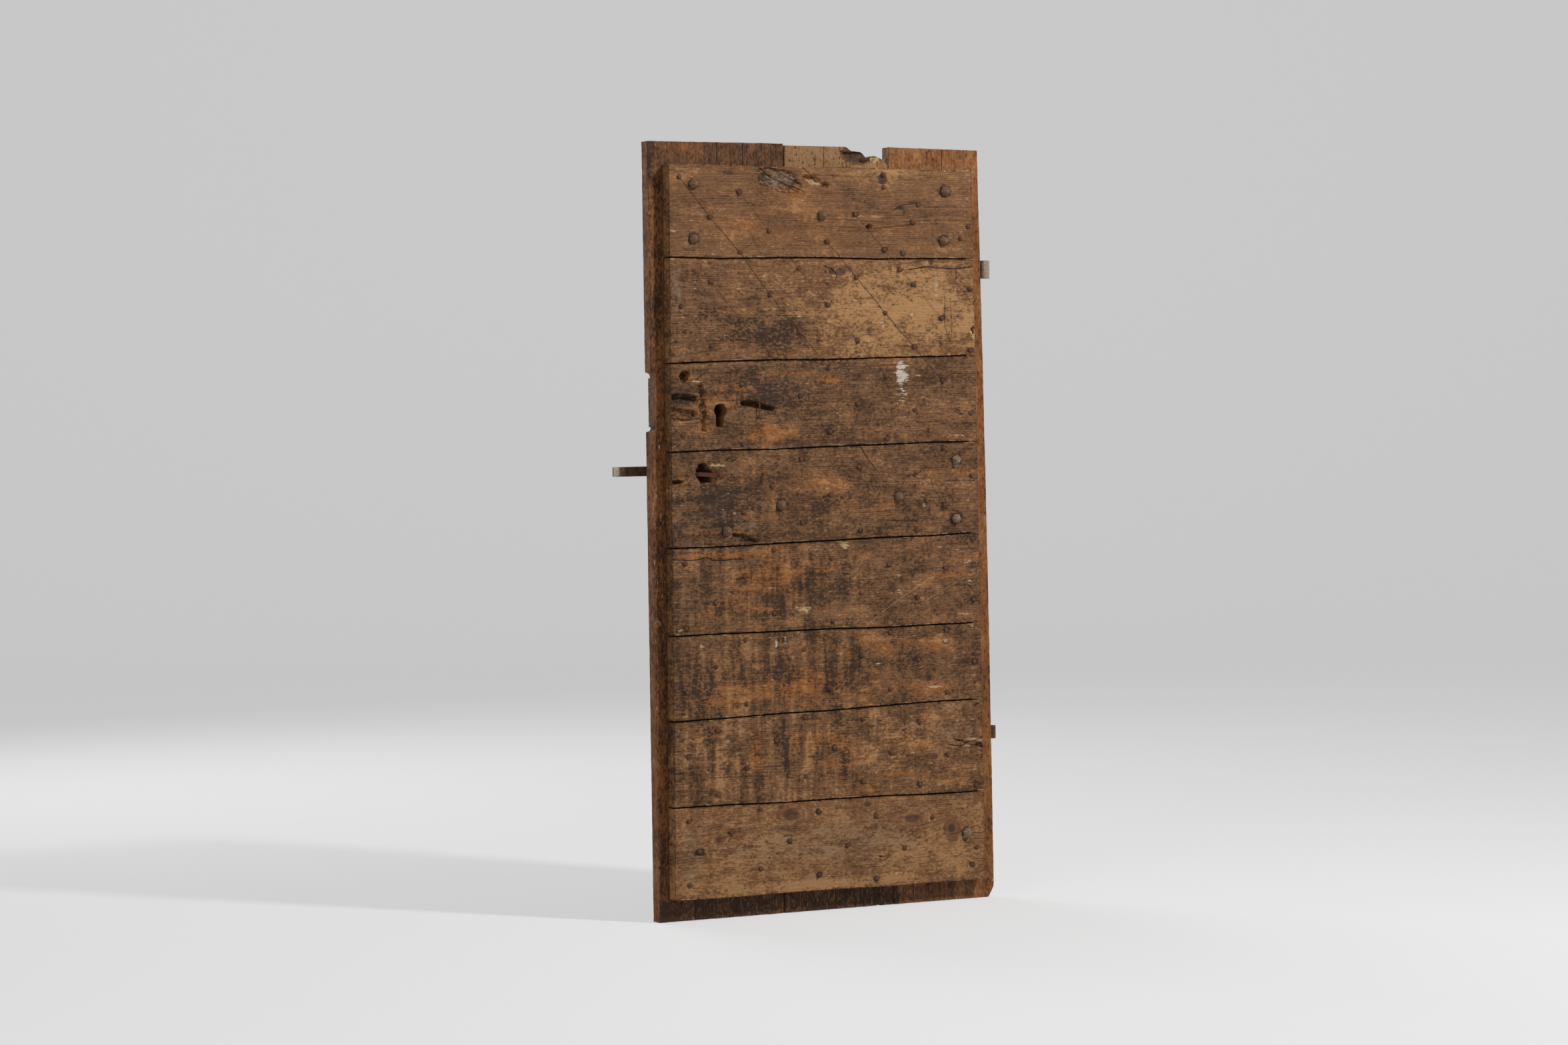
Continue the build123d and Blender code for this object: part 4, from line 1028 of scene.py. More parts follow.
# %% [markdown]
# ## The keyhole
# A keyhole in such a door is bored through both skins and opened downwards for the key's bit. Use
# has made its rim uneven. One cutter shapes it in the front board, the back board and the stock.

# %% Cut the keyhole
KEYHOLE = (155, 1146)
KEY_RADIUS = 15.5
SLOT_LEFT, SLOT_RIGHT, SLOT_FOOT = 143.5, 162.5, 1109
BEFORE_FACE = 6


def keyhole_cutter(depth):
    """The keyhole as a ragged prism from before the face to a depth behind it."""
    bm = bmesh.new()
    start, end = (math.acos((side - KEYHOLE[0]) / KEY_RADIUS) for side in (SLOT_RIGHT, SLOT_LEFT))
    angles = np.linspace(-start, 2 * math.pi - end, 30)
    rim = [(KEYHOLE[0] + KEY_RADIUS * math.cos(a), KEYHOLE[1] + KEY_RADIUS * math.sin(a)) for a in angles]
    rim += [(SLOT_LEFT, SLOT_FOOT + 12), (SLOT_LEFT + 1, SLOT_FOOT + 1)]
    rim += [(SLOT_RIGHT - 1, SLOT_FOOT), (SLOT_RIGHT, SLOT_FOOT + 12)]
    ragged = np.random.default_rng(5).uniform(-0.5, 0.5, (len(rim), 2))
    verts = [bm.verts.new(point(a + i, u + j, FRONT + BEFORE_FACE)) for (a, u), (i, j) in zip(rim, ragged)]
    fresh, _ = extrude(bm, [bm.faces.new(verts)])
    bmesh.ops.translate(bm, verts=fresh, vec=(0, (depth + BEFORE_FACE) * MM, 0))
    bmesh.ops.recalc_face_normals(bm, faces=bm.faces)
    return to_mesh(bm, "keyhole", False)


def cut_keyhole(mesh, depth):
    """The mesh with the keyhole cut out of it."""
    tool, work = link("cutter", keyhole_cutter(depth)), link("work", mesh)
    cut = work.modifiers.new("cut", "BOOLEAN")
    cut.object, cut.solver = tool, "EXACT"
    made = bpy.data.meshes.new_from_object(work.evaluated_get(bpy.context.evaluated_depsgraph_get()))
    for item in (tool, work):
        bpy.data.objects.remove(item)
    return made


FRONT_MESHES[2] = cut_keyhole(FRONT_MESHES[2], 40)
for mesh, node in zip(FRONT_MESHES, FRONT_BOARDS):
    show(node + ".planed", mesh, FRONT_PINE, "leaf", "front_pine", node)
print("board with keyhole", len(FRONT_MESHES[2].polygons), "faces")

# %% [markdown]
# ## The back boards
# The three upright boards carry the whole leaf. From the front they show only as a strip all round,
# dirtier at the bolt side, orange where hands and weather kept it clean at the hinge side, with a
# rotted knot at the head. Their back face was never planed and shows saw marks.

# %% Cracks and blots of the back boards
BACK_SPLITS = (
    (0.9, 172, 1752, 1380), (0.8, 238, 1752, 1500), (0.8, 448, 1752, 1300), (0.9, 760, 1752, 1450),
    (0.7, 90, -2, 240), (0.6, 150, -2, 160), (0.8, 452, -2, 130), (0.7, 478, -2, 210), (0.8, 503, -2, 150),
    (0.6, 528, -2, 260), (0.7, 660, -2, 190), (0.6, 730, -2, 320), (0.5, 60, 900, 1300),
    (0.6, 520, 700, 1150),
)


def patch_value(across, up, middle, height, half_across, half_up):
    """One soft blot at each point."""
    reach = np.hypot((across - middle) / half_across, (up - height) / half_up)
    return 1 - step_up(reach + 0.3 * plane_noise(across / 8, up / 12, 33, 3), 0.5, 1.1)


def upright_splits(across, up):
    """Signed distance in metres to the nearest crack that runs up a back board, and its strength."""
    best, gap, strength = np.full(len(up), LINE_REACH), np.full(len(up), LINE_REACH), np.zeros(len(up))
    for force, middle, start, end in BACK_SPLITS:
        low, high = min(start, end), max(start, end)
        lean = middle + 3.5 * plane_noise(up / 110, middle, 970, 2)
        fade = 1 - step_up(np.abs(up - start) / abs(end - start), 0.75, 1)
        fade *= (up > low - 4) * (up < high + 4)
        away = across - lean
        closer = (np.abs(away) < np.abs(best)) & (fade > 0)
        best[closer], gap[closer], strength[closer] = away[closer], away[closer], (force * fade)[closer]
    return gap * MM, strength * fade_out(np.abs(best))


print("cracks in the back boards", len(BACK_SPLITS))

# %% Shape a back board
BACK_WALL = (4, 9, 16, 23, 30, 34)
TRIMS = {"back_board_bolt_side": (1, 1), "back_board_middle": (1, 60), "back_board_hinge_side": (1, 10)}
NOTCH_ENDS = (1101, 1233)
NOTCH_STEPS = (-8, -4, -2, -1, 0, 1, 2, 4, 8)
FOOT_SPLIT = (555, 573)
HEAD_KNOT = (545, 1728, 62, 30)


def back_net(node):
    """The net of a back board, with extra rows and columns at the notch, the head and a wide split."""
    low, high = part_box(node)
    wide, tall = (high.x - low.x) / MM, (high.z - low.z) / MM
    columns = graded(5.0, wide)
    if node == "back_board_middle":
        foot_split = np.arange(*FOOT_SPLIT, 0.9) - (low.x - BOLT_EDGE) / MM
        columns = np.unique(np.concatenate([columns, foot_split / wide]).round(6))
    notch = np.array([end + step for end in NOTCH_ENDS for step in NOTCH_STEPS])
    near_head = np.arange(tall - 60, tall - 4, 2.5)
    rows = np.unique(np.concatenate([graded(9.5, tall), notch / tall, near_head / tall]).round(6))
    mesh = plank_net(node, columns, rows, BACK_WALL, True)
    return Board(columns, rows, read_outline(node, SEAM_Y + 10 * MM, columns, rows, TRIMS[node]), mesh)


def shape_back(node, seed):
    """A back board with two rough faces, and the values that its shape gives."""
    board = back_net(node)
    across, up, face = board.across, board.up, board.face
    ring, fibre = grain(board, up, across, 900 + seed, (30 * math.sin(seed), 30))
    board.round_arris(2.4 + 1.2 * plane_noise(up / 40, across / 30, 910 + seed, 3))
    middle, height, half_across, half_up = HEAD_KNOT
    reach = np.hypot((across - middle) / half_across, (up - height) / half_up)
    rotten = (1 - step_up(reach, 0.5, 1.15)) * (node == "back_board_middle")
    shown = face | board.back
    inside = shown * board.inside(0.2, 3)
    rough = 0.35 * plane_noise(up / 60, fibre / MM / 4, 920 + seed, 3)
    wander = plane_noise(up / 90, across / 60, 930 + seed, 2)
    sawn = 0.22 * np.sin(up / 3.1 + 0.8 * wander * 6) * board.back
    rot = 9 * rotten * step_up(plane_noise(across / 22, up / 9, 940, 4), -0.35, 0.5)
    board.offset += inside * np.where(face, rough + 0.5 + rot, -(rough + sawn + 0.6))
    splits, near = upright_splits(across, up)
    groove = 1.6 * near * (1 - step_up(np.abs(splits) / MM, 0.5, 2.6))
    board.offset += inside * groove * np.where(face, 1, -1)
    board.roughen_edges(950 + seed, 1.1)
    board.place(SEAM_Y)
    return board, rotten, {"ring": ring, "fibre": fibre, "split": splits, "split_near": near}


# %% Mark a back board
HEAD_STRIP, FOOT_STRIP, BOLT_STRIP, HINGE_STRIP = 1690, 46, 30, 825
CLEAN_FOOT = 620


def mark_back(node, seed, board, rotten, fields):
    """Give a back board its dirt, wear and stains, painted shadows about its nails, painted light on the
    hinge board's walls at the head, and the strips that show round the front.
    """
    across, up, face, back = board.across, board.up, board.face, board.back
    shown = face | back
    bolt_side, middle, hinge_side = (node == name for name in BACK_BOARDS)
    speckle = plane_noise(up / 60, across / 30, 960 + seed, 3)
    head = face * (up > HEAD_STRIP)
    head_wall = ~shown * (up > HEAD_STRIP)
    foot = (up < FOOT_STRIP) * face * (across < CLEAN_FOOT)
    left, right = across < BOLT_STRIP, (across > HINGE_STRIP) * face
    tone = 0.1 + 0.35 * speckle - 0.35 * left * face - 0.8 * foot
    # The hinge board's walls at the head are raised in tone: painted light where the lamps leave them dark.
    tone += head * (0.9 * middle + 0.15 * hinge_side - 0.6 * bolt_side) + 0.5 * head_wall * hinge_side
    warm = 0.15 + 0.45 * right + 0.4 * head * hinge_side + 0.35 * left
    warm += 0.7 * patch_value(across, up, 78, 1737, 36, 10) - 0.45 * back
    soot = 0.3 + 0.4 * left * face + 0.6 * foot + 0.5 * rotten
    soot += 0.7 * patch_value(across, up, 838, 1035, 10, 60) - 0.1 * back
    grey = 0.35 * back + 0.5 * head * middle * (across < 488) + 0.5 * rotten
    stain = 0.7 * patch_value(across, up, 838, 1030, 9, 55) + 0.6 * patch_value(across, up, 838, 1555, 8, 12)
    # Iron stain and painted shadow about the nails on the back.
    stain += nail_stains(board, SMALL_NAILS) * back * 0.9
    pale = 0.9 * patch_value(across, up, 583, 1722, 14, 18) * face
    pale = pale + 0.5 * (1 - step_up(board.to_end, 0.5, 4)) * (speckle > 0.05) * shown
    lime = 0.5 * patch_value(across, up, 12, 1000, 12, 700) * step_up(speckle, 0.1, 0.5)
    board.carry(
        busy=0.65 - 0.3 * back, knot=0.8 * rotten, tone=tone, warm=warm, soot=soot, grey=grey,
        stain=stain, pale=pale, lime=lime, **fields,
    )
    return board.mesh


for number, node in enumerate(BACK_BOARDS):
    seed = 7 * number + 1
    mesh = mark_back(node, seed, *shape_back(node, seed))
    if node == "back_board_bolt_side":
        mesh = cut_keyhole(mesh, FRONT - REAR + 6)
    show(node + ".sawn", mesh, BACK_PINE, "leaf", "back_pine", node)
    print(node, len(mesh.polygons), "faces")

# %% [markdown]
# ## Ledges and lock stock
# Three ledges are nailed across the back to hold the boards flat. The lock stock is a block of
# harder wood behind the keyhole. Both are planed, with chamfered edges, and dark from handling.

# %% Shape a ledge or the stock
CHAMFER = 6
CHAMFER_STEPS = (0, 1.5, 3, 4.5, 6, 8)
END_ARRIS = 1.8


def batten(node, out, spread, seed, wall):
    """A piece on the back whose face looks to the rear, chamfered, and wider by spread at its base."""
    low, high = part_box(node)
    columns = graded(6.0, (high.x - low.x) / MM, CHAMFER_STEPS)
    rows = graded(4.0, (high.z - low.z) / MM, CHAMFER_STEPS)
    mesh = plank_net(node, columns, rows, wall)
    board = Board(columns, rows, read_outline(node, SEAM_Y + out * MM, columns, rows, (20, 20)), mesh)
    across, up, face = board.across, board.up, board.face
    ring, fibre = grain(board, across, up, seed, (18, 24))
    at_end = CHAMFER - board.to_end if spread else END_ARRIS - np.minimum(board.to_end, END_ARRIS)
    sink = np.maximum(np.maximum(CHAMFER - board.to_side, 0), at_end)
    planed = 0.3 * plane_noise(across / 70, up / 5, seed + 3, 3)
    bowed = 0.5 * plane_noise(across / 150, up / 60, seed + 4, 2)
    dents = 1.0 * step_up(plane_noise(across / 14, up / 10, seed + 5, 3), 0.4, 0.65)
    board.offset += face * (sink + board.inside(0.5, 4) * (planed + bowed + dents + 0.6))
    grow = spread * board.depth / board.thick
    board.across += np.where(board.to_left < board.to_right, -grow, grow) * (board.to_end < 9)
    board.up += np.where(board.to_foot < board.to_head, -grow, grow) * (board.to_side < 9)
    board.roughen_edges(seed + 6, 0.5, 6)
    board.place(high.y, -1)
    speckle = plane_noise(across / 90, up / 40, seed + 7, 3)
    edge = 1 - step_up(np.minimum(board.to_side, board.to_end), 1, 10)
    # The sides grow darker towards the base, where the piece meets the boards.
    near_base = step_up(board.depth, 2, board.thick)
    # About the large nails: iron stain and painted shadow.
    board.carry(
        busy=0.5, ring=ring, fibre=fibre, tone=0.5 * speckle - 0.35 * near_base, warm=0.3 + 0.5 * speckle,
        soot=0.35 + 0.4 * speckle + 0.4 * near_base, grey=0.25 + 0.3 * speckle,
        pale=0.42 * edge * (speckle > -0.1), stain=nail_stains(board, LARGE_NAILS) * 0.9 * face,
    )
    return mesh


for number, node in enumerate(("ledge_top", "ledge_middle", "ledge_foot")):
    mesh = batten(node, 24 - REAR, 0, 1000 + 20 * number, (8, 13, 19, 24, 28))
    show(node + ".planed", mesh, LEDGE_PINE, "leaf", "ledge_pine", node)
stock = batten("lock_stock", 42 - REAR, 3.7, 1100, (8, 16, 25, 34, 44))
stock = cut_keyhole(stock, FRONT - REAR + 24)
show("lock_stock.shaped", stock, LOCK_WOOD, "leaf", "lock_wood", "lock_stock")
print("stock", len(stock.polygons), "faces")

# %% [markdown]
# ## Old iron
# Wrought iron that has hung outdoors is dark and brown rather than grey: a thin hard scale with
# rust in its pits, and bare metal only where it is handled. Some heads carry splashes of limewash.

# %% The iron material
HANDLED, RUST_SPECKS, LIME_SPLASH = colour("96765a"), colour("8a5632"), colour("c6bcac")


def iron(name, colours, shine):
    """Forged iron in three colours: scale, worn scale and rust, by the values that the mesh carries."""
    paint = Paint(name)
    scale, worn_scale, rust_colour = (colour(code) for code in colours.split())
    spot = paint.node("TexCoord", {}, {}, "Object")
    broad = paint.noise(spot, (60, 60, 60))
    middle = paint.noise(spot, (260, 260, 260), 5.0, 0.65)
    fine = paint.noise(spot, (1100, 1100, 1100), 3.0, 0.7)
    rust, lime, worn = paint.attributes("rust", "lime", "worn")
    rusty = paint.range(rust * 0.5 + middle * 1.2 + broad * 0.6, 0.95, 1.4)
    limed = paint.range(lime + middle * 0.7, 0.72, 1.15)
    metal = paint.layers(
        scale,
        (paint.range(broad * 0.6 + middle * 0.4, 0.36, 0.64), worn_scale),
        (paint.range(worn + middle * 0.8, 0.5, 1.3) * 0.6, HANDLED),
        (rusty * 0.85, rust_colour),
        (paint.range(rust * 0.4 + fine * 0.7, 0.62, 0.9) * 0.5, RUST_SPECKS),
        (limed * 0.85, LIME_SPLASH),
    )
    glint = paint.range(rusty + limed, 0.0, 0.8, shine, 0.0)
    rough = paint.range(rusty + fine * 0.4, 0.1, 1.2, 0.46, 0.85)
    normal = paint.bump(fine, 0.0007, 0.8, Normal=paint.bump(middle, 0.0022))
    ends = {"Base_Color": metal, "Metallic": glint, "Roughness": rough, "Normal": normal}
    return paint.finish(**ends, Specular_IOR_Level=0.3)


NAIL_IRON = iron("nail iron", "38261b 70503a 6e3d25", 0.15)
STRAP_IRON = iron("strap iron", "35281f 624b3a 6a3b20", 0.25)
BOLT_IRON = iron("bolt iron", "35271f 66503f 6a3a1d", 0.35)
print("materials", len(bpy.data.materials))

# %% [markdown]
# ## Nails
# Each nail was forged by hand: a square shank and a head beaten into a few facets over a bore. So
# no two heads are alike. A head starts as a low cone with a few sides, its points are
# moved a little at random, its edges are bevelled, and the shank goes through both skins to a
# point that was bent over and hammered flat on the back.

# %% Forge one nail
HEAD_BEVEL = 0.5
TOP_SHARE = 0.17


def forge_head(bm, rng, width, rise, skirt, sides):
    """A faceted head that stands on zero, with a base that goes a millimetre into the wood."""
    made = bmesh.ops.create_cone(
        bm, cap_ends=True, segments=sides, radius1=width / 2, radius2=width * TOP_SHARE, depth=rise,
    )
    turn = Matrix.Rotation(rng.uniform(0, 6.28), 3, "Z")
    bmesh.ops.rotate(bm, verts=made["verts"], matrix=turn)
    lean = rng.uniform(-0.07, 0.07, 2) * width
    for vert in bm.verts:
        high = vert.co.z > 0
        vert.co += Vector((*rng.uniform(-0.035, 0.035, 2), rng.uniform(-0.04, 0.02) if high else 0)) * width
        vert.co.x += lean[0] * high
        vert.co.y += lean[1] * high
        vert.co.z += rise / 2 + skirt
    slopes = [e for e in bm.edges if abs(e.verts[0].co.z - e.verts[1].co.z) > rise / 2]
    ring = bmesh.ops.subdivide_edges(bm, edges=slopes, cuts=1)["geom_inner"]
    for vert in kind_of(ring, bmesh.types.BMVert):
        vert.co.x *= 1.1 + rng.uniform(-0.05, 0.05)
        vert.co.y *= 1.1 + rng.uniform(-0.05, 0.05)
        vert.co.z += 0.06 * rise
    fresh, _ = extrude(bm, [min(bm.faces, key=lambda face: face.calc_center_median().z)])
    bmesh.ops.translate(bm, verts=fresh, vec=(0, 0, -skirt - 1.0))
    bmesh.ops.scale(bm, verts=fresh, vec=(0.9, 0.9, 1))
    bmesh.ops.bevel(
        bm, geom=bm.edges[:], offset=HEAD_BEVEL, segments=2, profile=0.5, affect="EDGES", material=-1,
    )


def bend_point(bm, rng, verts, shank, depth, length):
    """Bend the end of a shank towards +y and hammer it thin."""
    bm.normal_update()
    edges = dict.fromkeys(edge for vert in verts for edge in vert.link_edges)
    faces = dict.fromkeys(face for vert in verts for face in vert.link_faces)
    bend = -depth + 0.6 * shank
    geom = [*verts, *edges, *faces]
    bmesh.ops.bisect_plane(bm, geom=geom, plane_co=(0, 0, bend), plane_no=(0, 0, 1))
    side = max(
        (face for face in bm.faces if face.normal.y > 0.9 and face.calc_center_median().z < bend),
        key=lambda face: face.calc_center_median().y,
    )
    for reach, size in ((0.5, 0.9), (0.5, 0.62)):
        fresh, (side,) = extrude(bm, [side])
        aside = rng.uniform(-0.8, 0.8)
        bmesh.ops.translate(bm, verts=fresh, vec=(aside, reach * (length - shank), 0))
        pivot = Matrix.Translation(-side.calc_center_median())
        bmesh.ops.scale(bm, verts=fresh, vec=(size, 1, 0.9), space=pivot)
        for vert in fresh:
            vert.co.z = max(vert.co.z, -depth + 0.1)


def forge_nail(width, rise, skirt, shank, depth, point_length, sides, seed):
    """A nail in its own frame in millimetres: head above zero, shank below, point bent towards +y."""
    rng = np.random.default_rng(seed)
    bm = bmesh.new()
    forge_head(bm, rng, width, rise, skirt, sides)
    down = Matrix.Translation((0, 0, -depth / 2 - 0.2))
    pin = bmesh.ops.create_cube(bm, size=1, matrix=down @ Matrix.Diagonal((shank, shank, depth - 0.4, 1)))
    if point_length:
        bend_point(bm, rng, pin["verts"], shank, depth, point_length)
    bmesh.ops.recalc_face_normals(bm, faces=bm.faces)
    return to_mesh(bm, "nail")


sample = forge_nail(23, 11, 2.6, 9, 70, 26, 6, 1)
print("one large nail has", len(sample.polygons), "faces")
bpy.data.meshes.remove(sample)

# %% Drive nails in and join them
def driven(across, up, out, facing=1):
    """The frame of a nail driven into a face that lies out from the seam. Facing is -1 at the back."""
    turn = Matrix(((1, 0, 0), (0, 0, -facing), (0, facing, 0))).to_4x4()
    return Matrix.Translation(point(across, up, out)) @ turn @ Matrix.Scale(MM, 4)


def join_nails(name, made, crease=24):
    """One mesh of many nails, each with its frame and its share of rust, lime and wear.

    Edges that turn by more than the crease, in degrees, stay hard. A small one keeps facets flat.
    """
    bm = bmesh.new()
    layers = [bm.verts.layers.float.new(key) for key in ("rust", "lime", "worn")]
    for mesh, place, values in made:
        start = len(bm.verts)
        bm.from_mesh(mesh)
        bm.verts.ensure_lookup_table()
        fresh = bm.verts[start:]
        bmesh.ops.transform(bm, matrix=place, verts=fresh)
        for vert in fresh:
            for layer, value in zip(layers, values):
                vert[layer] = value
        bpy.data.meshes.remove(mesh)
    joined = to_mesh(bm, name)
    joined.set_sharp_from_angle(angle=math.radians(crease))
    return joined


print("a nail at the front points along", (driven(0, 0, 0).to_3x3() @ Vector((0, 0, -1))).normalized())

# %% Forge the nails of the front
# For each kind of nail, in millimetres: how far its head rises, how deep its edge is, how thick
# its shank is and how long its bent point. The last is its width as a share of the frame's.
NAIL_KINDS = {
    "small": (3.4, 0.3, 4.6, 15, 0.99),
    "stub": (2.6, 0.3, 9.0, 26, 0.99),
    "middling": (7.5, 0.3, 6.5, 15, 0.99),
    "large": (11.2, 2.6, 9.0, 26, 1.05),
}
LARGE_SIDES = (5, 6, 7, 6)


def kind_of_nail(width):
    """A nail's kind by the width of its head in millimetres."""
    if width > 21:
        return "large"
    if width > 15:
        return "middling"
    return "stub" if width > 12.5 else "small"


def front_nails(name, nails, seed, crease):
    """Nails in the front face. A nail that reaches past the leaf's back has a bent point."""
    made = []
    for index, (across, up, width, depth) in enumerate(nails):
        kind = kind_of_nail(width)
        large = kind == "large"
        rise, skirt, shank, point_length, broad = NAIL_KINDS[kind]
        clenched = depth > FRONT - REAR + 1
        sides = LARGE_SIDES[index % 4] if large else 8
        shape = (width * broad, rise, skirt, shank, depth, point_length * clenched, sides, seed + index)
        rust = 0.2 if large else 0.55 + 0.45 * math.sin(index * 1.7)
        lime = 0.5 if large and across > 700 and up < 1100 else 0.0
        values = (rust, lime, 0.7 if large else 0.1)
        made.append((forge_nail(*shape), driven(across, up, FRONT), values))
    return join_nails(name, made, crease)


for name, node, nails, seed, crease in (
    ("small_nails", "lattice_nails", SMALL_NAILS, 2000, 24),
    ("large_nails", "large_nails", LARGE_NAILS, 3000, 8),
):
    mesh = front_nails(name, nails, seed, crease)
    show(name + ".forged", mesh, NAIL_IRON, "leaf", "nail_iron", node)
    print(name, len(mesh.polygons), "faces")

# %% Place the leaning nail
LEAN, DROOP = math.radians(52), 0.06
LEANING_HEAD = (18.5, 10.5, 2.6)
HEAD_LENGTH = 15.6


def leaning_nail():
    """The large nail half drawn out of its hole, on the axis of its CAD solid."""
    axis = Vector((math.sin(LEAN), -math.cos(LEAN), -DROOP)).normalized()
    verts = [vert.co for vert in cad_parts["leaning_nail"].data.vertices]
    along = sorted(verts, key=lambda v: v.dot(axis))
    foot = sum(along[:4], Vector()) / 4
    length = (along[-1] - foot).dot(axis) / MM - HEAD_LENGTH
    mesh = forge_nail(*LEANING_HEAD, 9, length, 0, 6, 3100)
    turn = axis.to_track_quat("Z", "Y").to_matrix().to_4x4()
    place = Matrix.Translation(foot + axis * length * MM) @ turn @ Matrix.Scale(MM, 4)
    return join_nails("leaning_nail", [(mesh, place, (0.7, 0.0, 0.15))], 8)


leaning = leaning_nail()
show("leaning_nail.forged", leaning, NAIL_IRON, "leaf", "nail_iron", "leaning_nail")
print("leaning nail", len(leaning.polygons), "faces")

# %% Forge the nails of the back
# For each node: how far out its nails' face lies, the thickness of a shank and the rise of a head.
BACK_NAILS = {
    "strap_nails": (REAR - 4.5, 6.0, 3.4),
    "keeper_nails": (REAR - 32, 5.0, 2.6),
    "lock_stock_nails": (REAR - 44, 5.0, 2.6),
}
for number, (node, (out, shank, rise)) in enumerate(BACK_NAILS.items()):
    made = []
    for index, (across, up, width, depth) in enumerate(nails_of(node, out, -1)):
        mesh = forge_nail(width * 0.97, rise, 0.3, shank, depth, 0, 7, 3200 + 40 * number + index)
        made.append((mesh, driven(across, up, out, -1), (0.6, 0.0, 0.2)))
    show(node + ".forged", join_nails(node, made), NAIL_IRON, "leaf", "nail_iron", node)
    print(node, len(made))

# %% [markdown]
# ## Straps, keepers, bolt and staples
# A strap hinge is a flat bar drawn out to a taper, with its end rolled round a mandrel into the
# eye. So the strap is made the same way here: one section is carried round the pin in small steps
# and then drawn out along the leaf. The keepers are flat iron bent over the bolt, and the bolt is a
# bar with a lug. Hammering leaves every face slightly uneven.

# %% Finish a forging
DENT_SIZE = 0.016


def forging(bm, name, seed, bevel, dents=0.25, rust=0.5, lime=None):
    """Bevel a forging's sharp edges, dent its faces and store its rust. Bevel and dents in mm."""
    bmesh.ops.recalc_face_normals(bm, faces=bm.faces)
    sharp = [edge for edge in bm.edges if edge.is_manifold and edge.calc_face_angle() > math.radians(50)]
    bmesh.ops.bevel(
        bm, geom=sharp, offset=bevel * MM, segments=2, profile=0.5, affect="EDGES", material=-1,
        clamp_overlap=True,
    )
    bmesh.ops.triangulate(bm, faces=[face for face in bm.faces if len(face.verts) > 4])
    mesh = to_mesh(bm, name)
    points = read_points(mesh)
    x, y, z = points.T / DENT_SIZE
    dent = 0.5 + 0.5 * plane_noise(x, z + y, seed, 3)
    points -= read_points(mesh, "normal") * (dents * MM * dent)[:, None]
    mesh.vertices.foreach_set("co", points.ravel())
    mesh.update()
    mesh.set_sharp_from_angle(angle=math.radians(40))
    limed = lime(points) if lime else 0.0
    for key, value in (("rust", rust), ("worn", 0.15), ("lime", limed)):
        layer = mesh.attributes.new(key, "FLOAT", "POINT")
        layer.data.foreach_set("value", np.broadcast_to(value, len(points)).astype(np.float32))
    return mesh


def section(bm, corners, cuts):
    """A rectangular section between two opposite corners, cut into strips along z."""
    (x, y0, z0), (_, y1, z1) = corners
    made = bmesh.ops.create_grid(bm, x_segments=1, y_segments=cuts, size=0.5)
    for vert in made["verts"]:
        share_y, share_z = vert.co.x + 0.5, vert.co.y + 0.5
        vert.co = (x, y0 + (y1 - y0) * share_y, z0 + (z1 - z0) * share_z)
    return bm.faces[:]


def draw_on(bm, faces, matrix):
    """Extrude a section and move its new end by a matrix. Gives the new end's faces."""
    fresh, end = extrude(bm, faces)
    bmesh.ops.transform(bm, matrix=matrix, verts=fresh)
    return end


print("dents of about", DENT_SIZE / MM, "mm")

# %% Forge the strap hinges
STRAP_THICK = 4.5 * MM
ROLL, ROLL_STEPS = 302, 36
TAPER, TAPER_STEPS = 0.4, 34
EYE_LIME = {"hinge_strap_upper": 0.62, "hinge_strap_lower": 0.12}


def strap(node, seed):
    """A strap with its rolled eye about the hinge axis, tapered and round at its tip."""
    low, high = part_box(node)
    middle, half = (low.z + high.z) / 2, (high.z - low.z) / 2
    bm = bmesh.new()
    faces = section(bm, ((0, high.x - STRAP_THICK, low.z), (0, high.x, high.z)), 6)
    bmesh.ops.rotate(bm, verts=bm.verts, matrix=Matrix.Rotation(math.radians(-ROLL), 3, "Z"))
    for _ in range(ROLL_STEPS):
        faces = draw_on(bm, faces, Matrix.Rotation(math.radians(ROLL / ROLL_STEPS), 4, "Z"))
    tip = 0.6 * half
    length = -low.x - tip
    shares = [i / TAPER_STEPS for i in range(TAPER_STEPS + 1)]
    places = [(length * share, 1 - TAPER * share) for share in shares]
    rounds = [math.sin(a) for a in np.linspace(0, 1.45, 9)]
    places += [(length + tip * r, (1 - TAPER) * math.sqrt(max(1 - r * r, 0.02))) for r in rounds[1:]]
    lift = Matrix.Translation((0, 0, middle))
    for (before, old), (after, new) in zip(places, places[1:]):
        narrow = lift @ Matrix.Diagonal((1, 1, new / old, 1)) @ lift.inverted()
        faces = draw_on(bm, faces, Matrix.Translation((before - after, 0, 0)) @ narrow)

    def limed(points):
        return EYE_LIME[node] * (1 - step_up(-points[:, 0], 0.012, 0.05))

    return forging(bm, node, seed, 0.7, 0.3, 0.55, limed)


for number, node in enumerate(EYE_LIME):
    mesh = strap(node, 4000 + number)
    show(node + ".forged", mesh, STRAP_IRON, "leaf", "strap_iron", node)
    print(node, len(mesh.polygons), "faces")

# %% Bend the keepers
KEEPER_THICK = 4 * MM
KEEPER_PLAY = 0.5 * MM


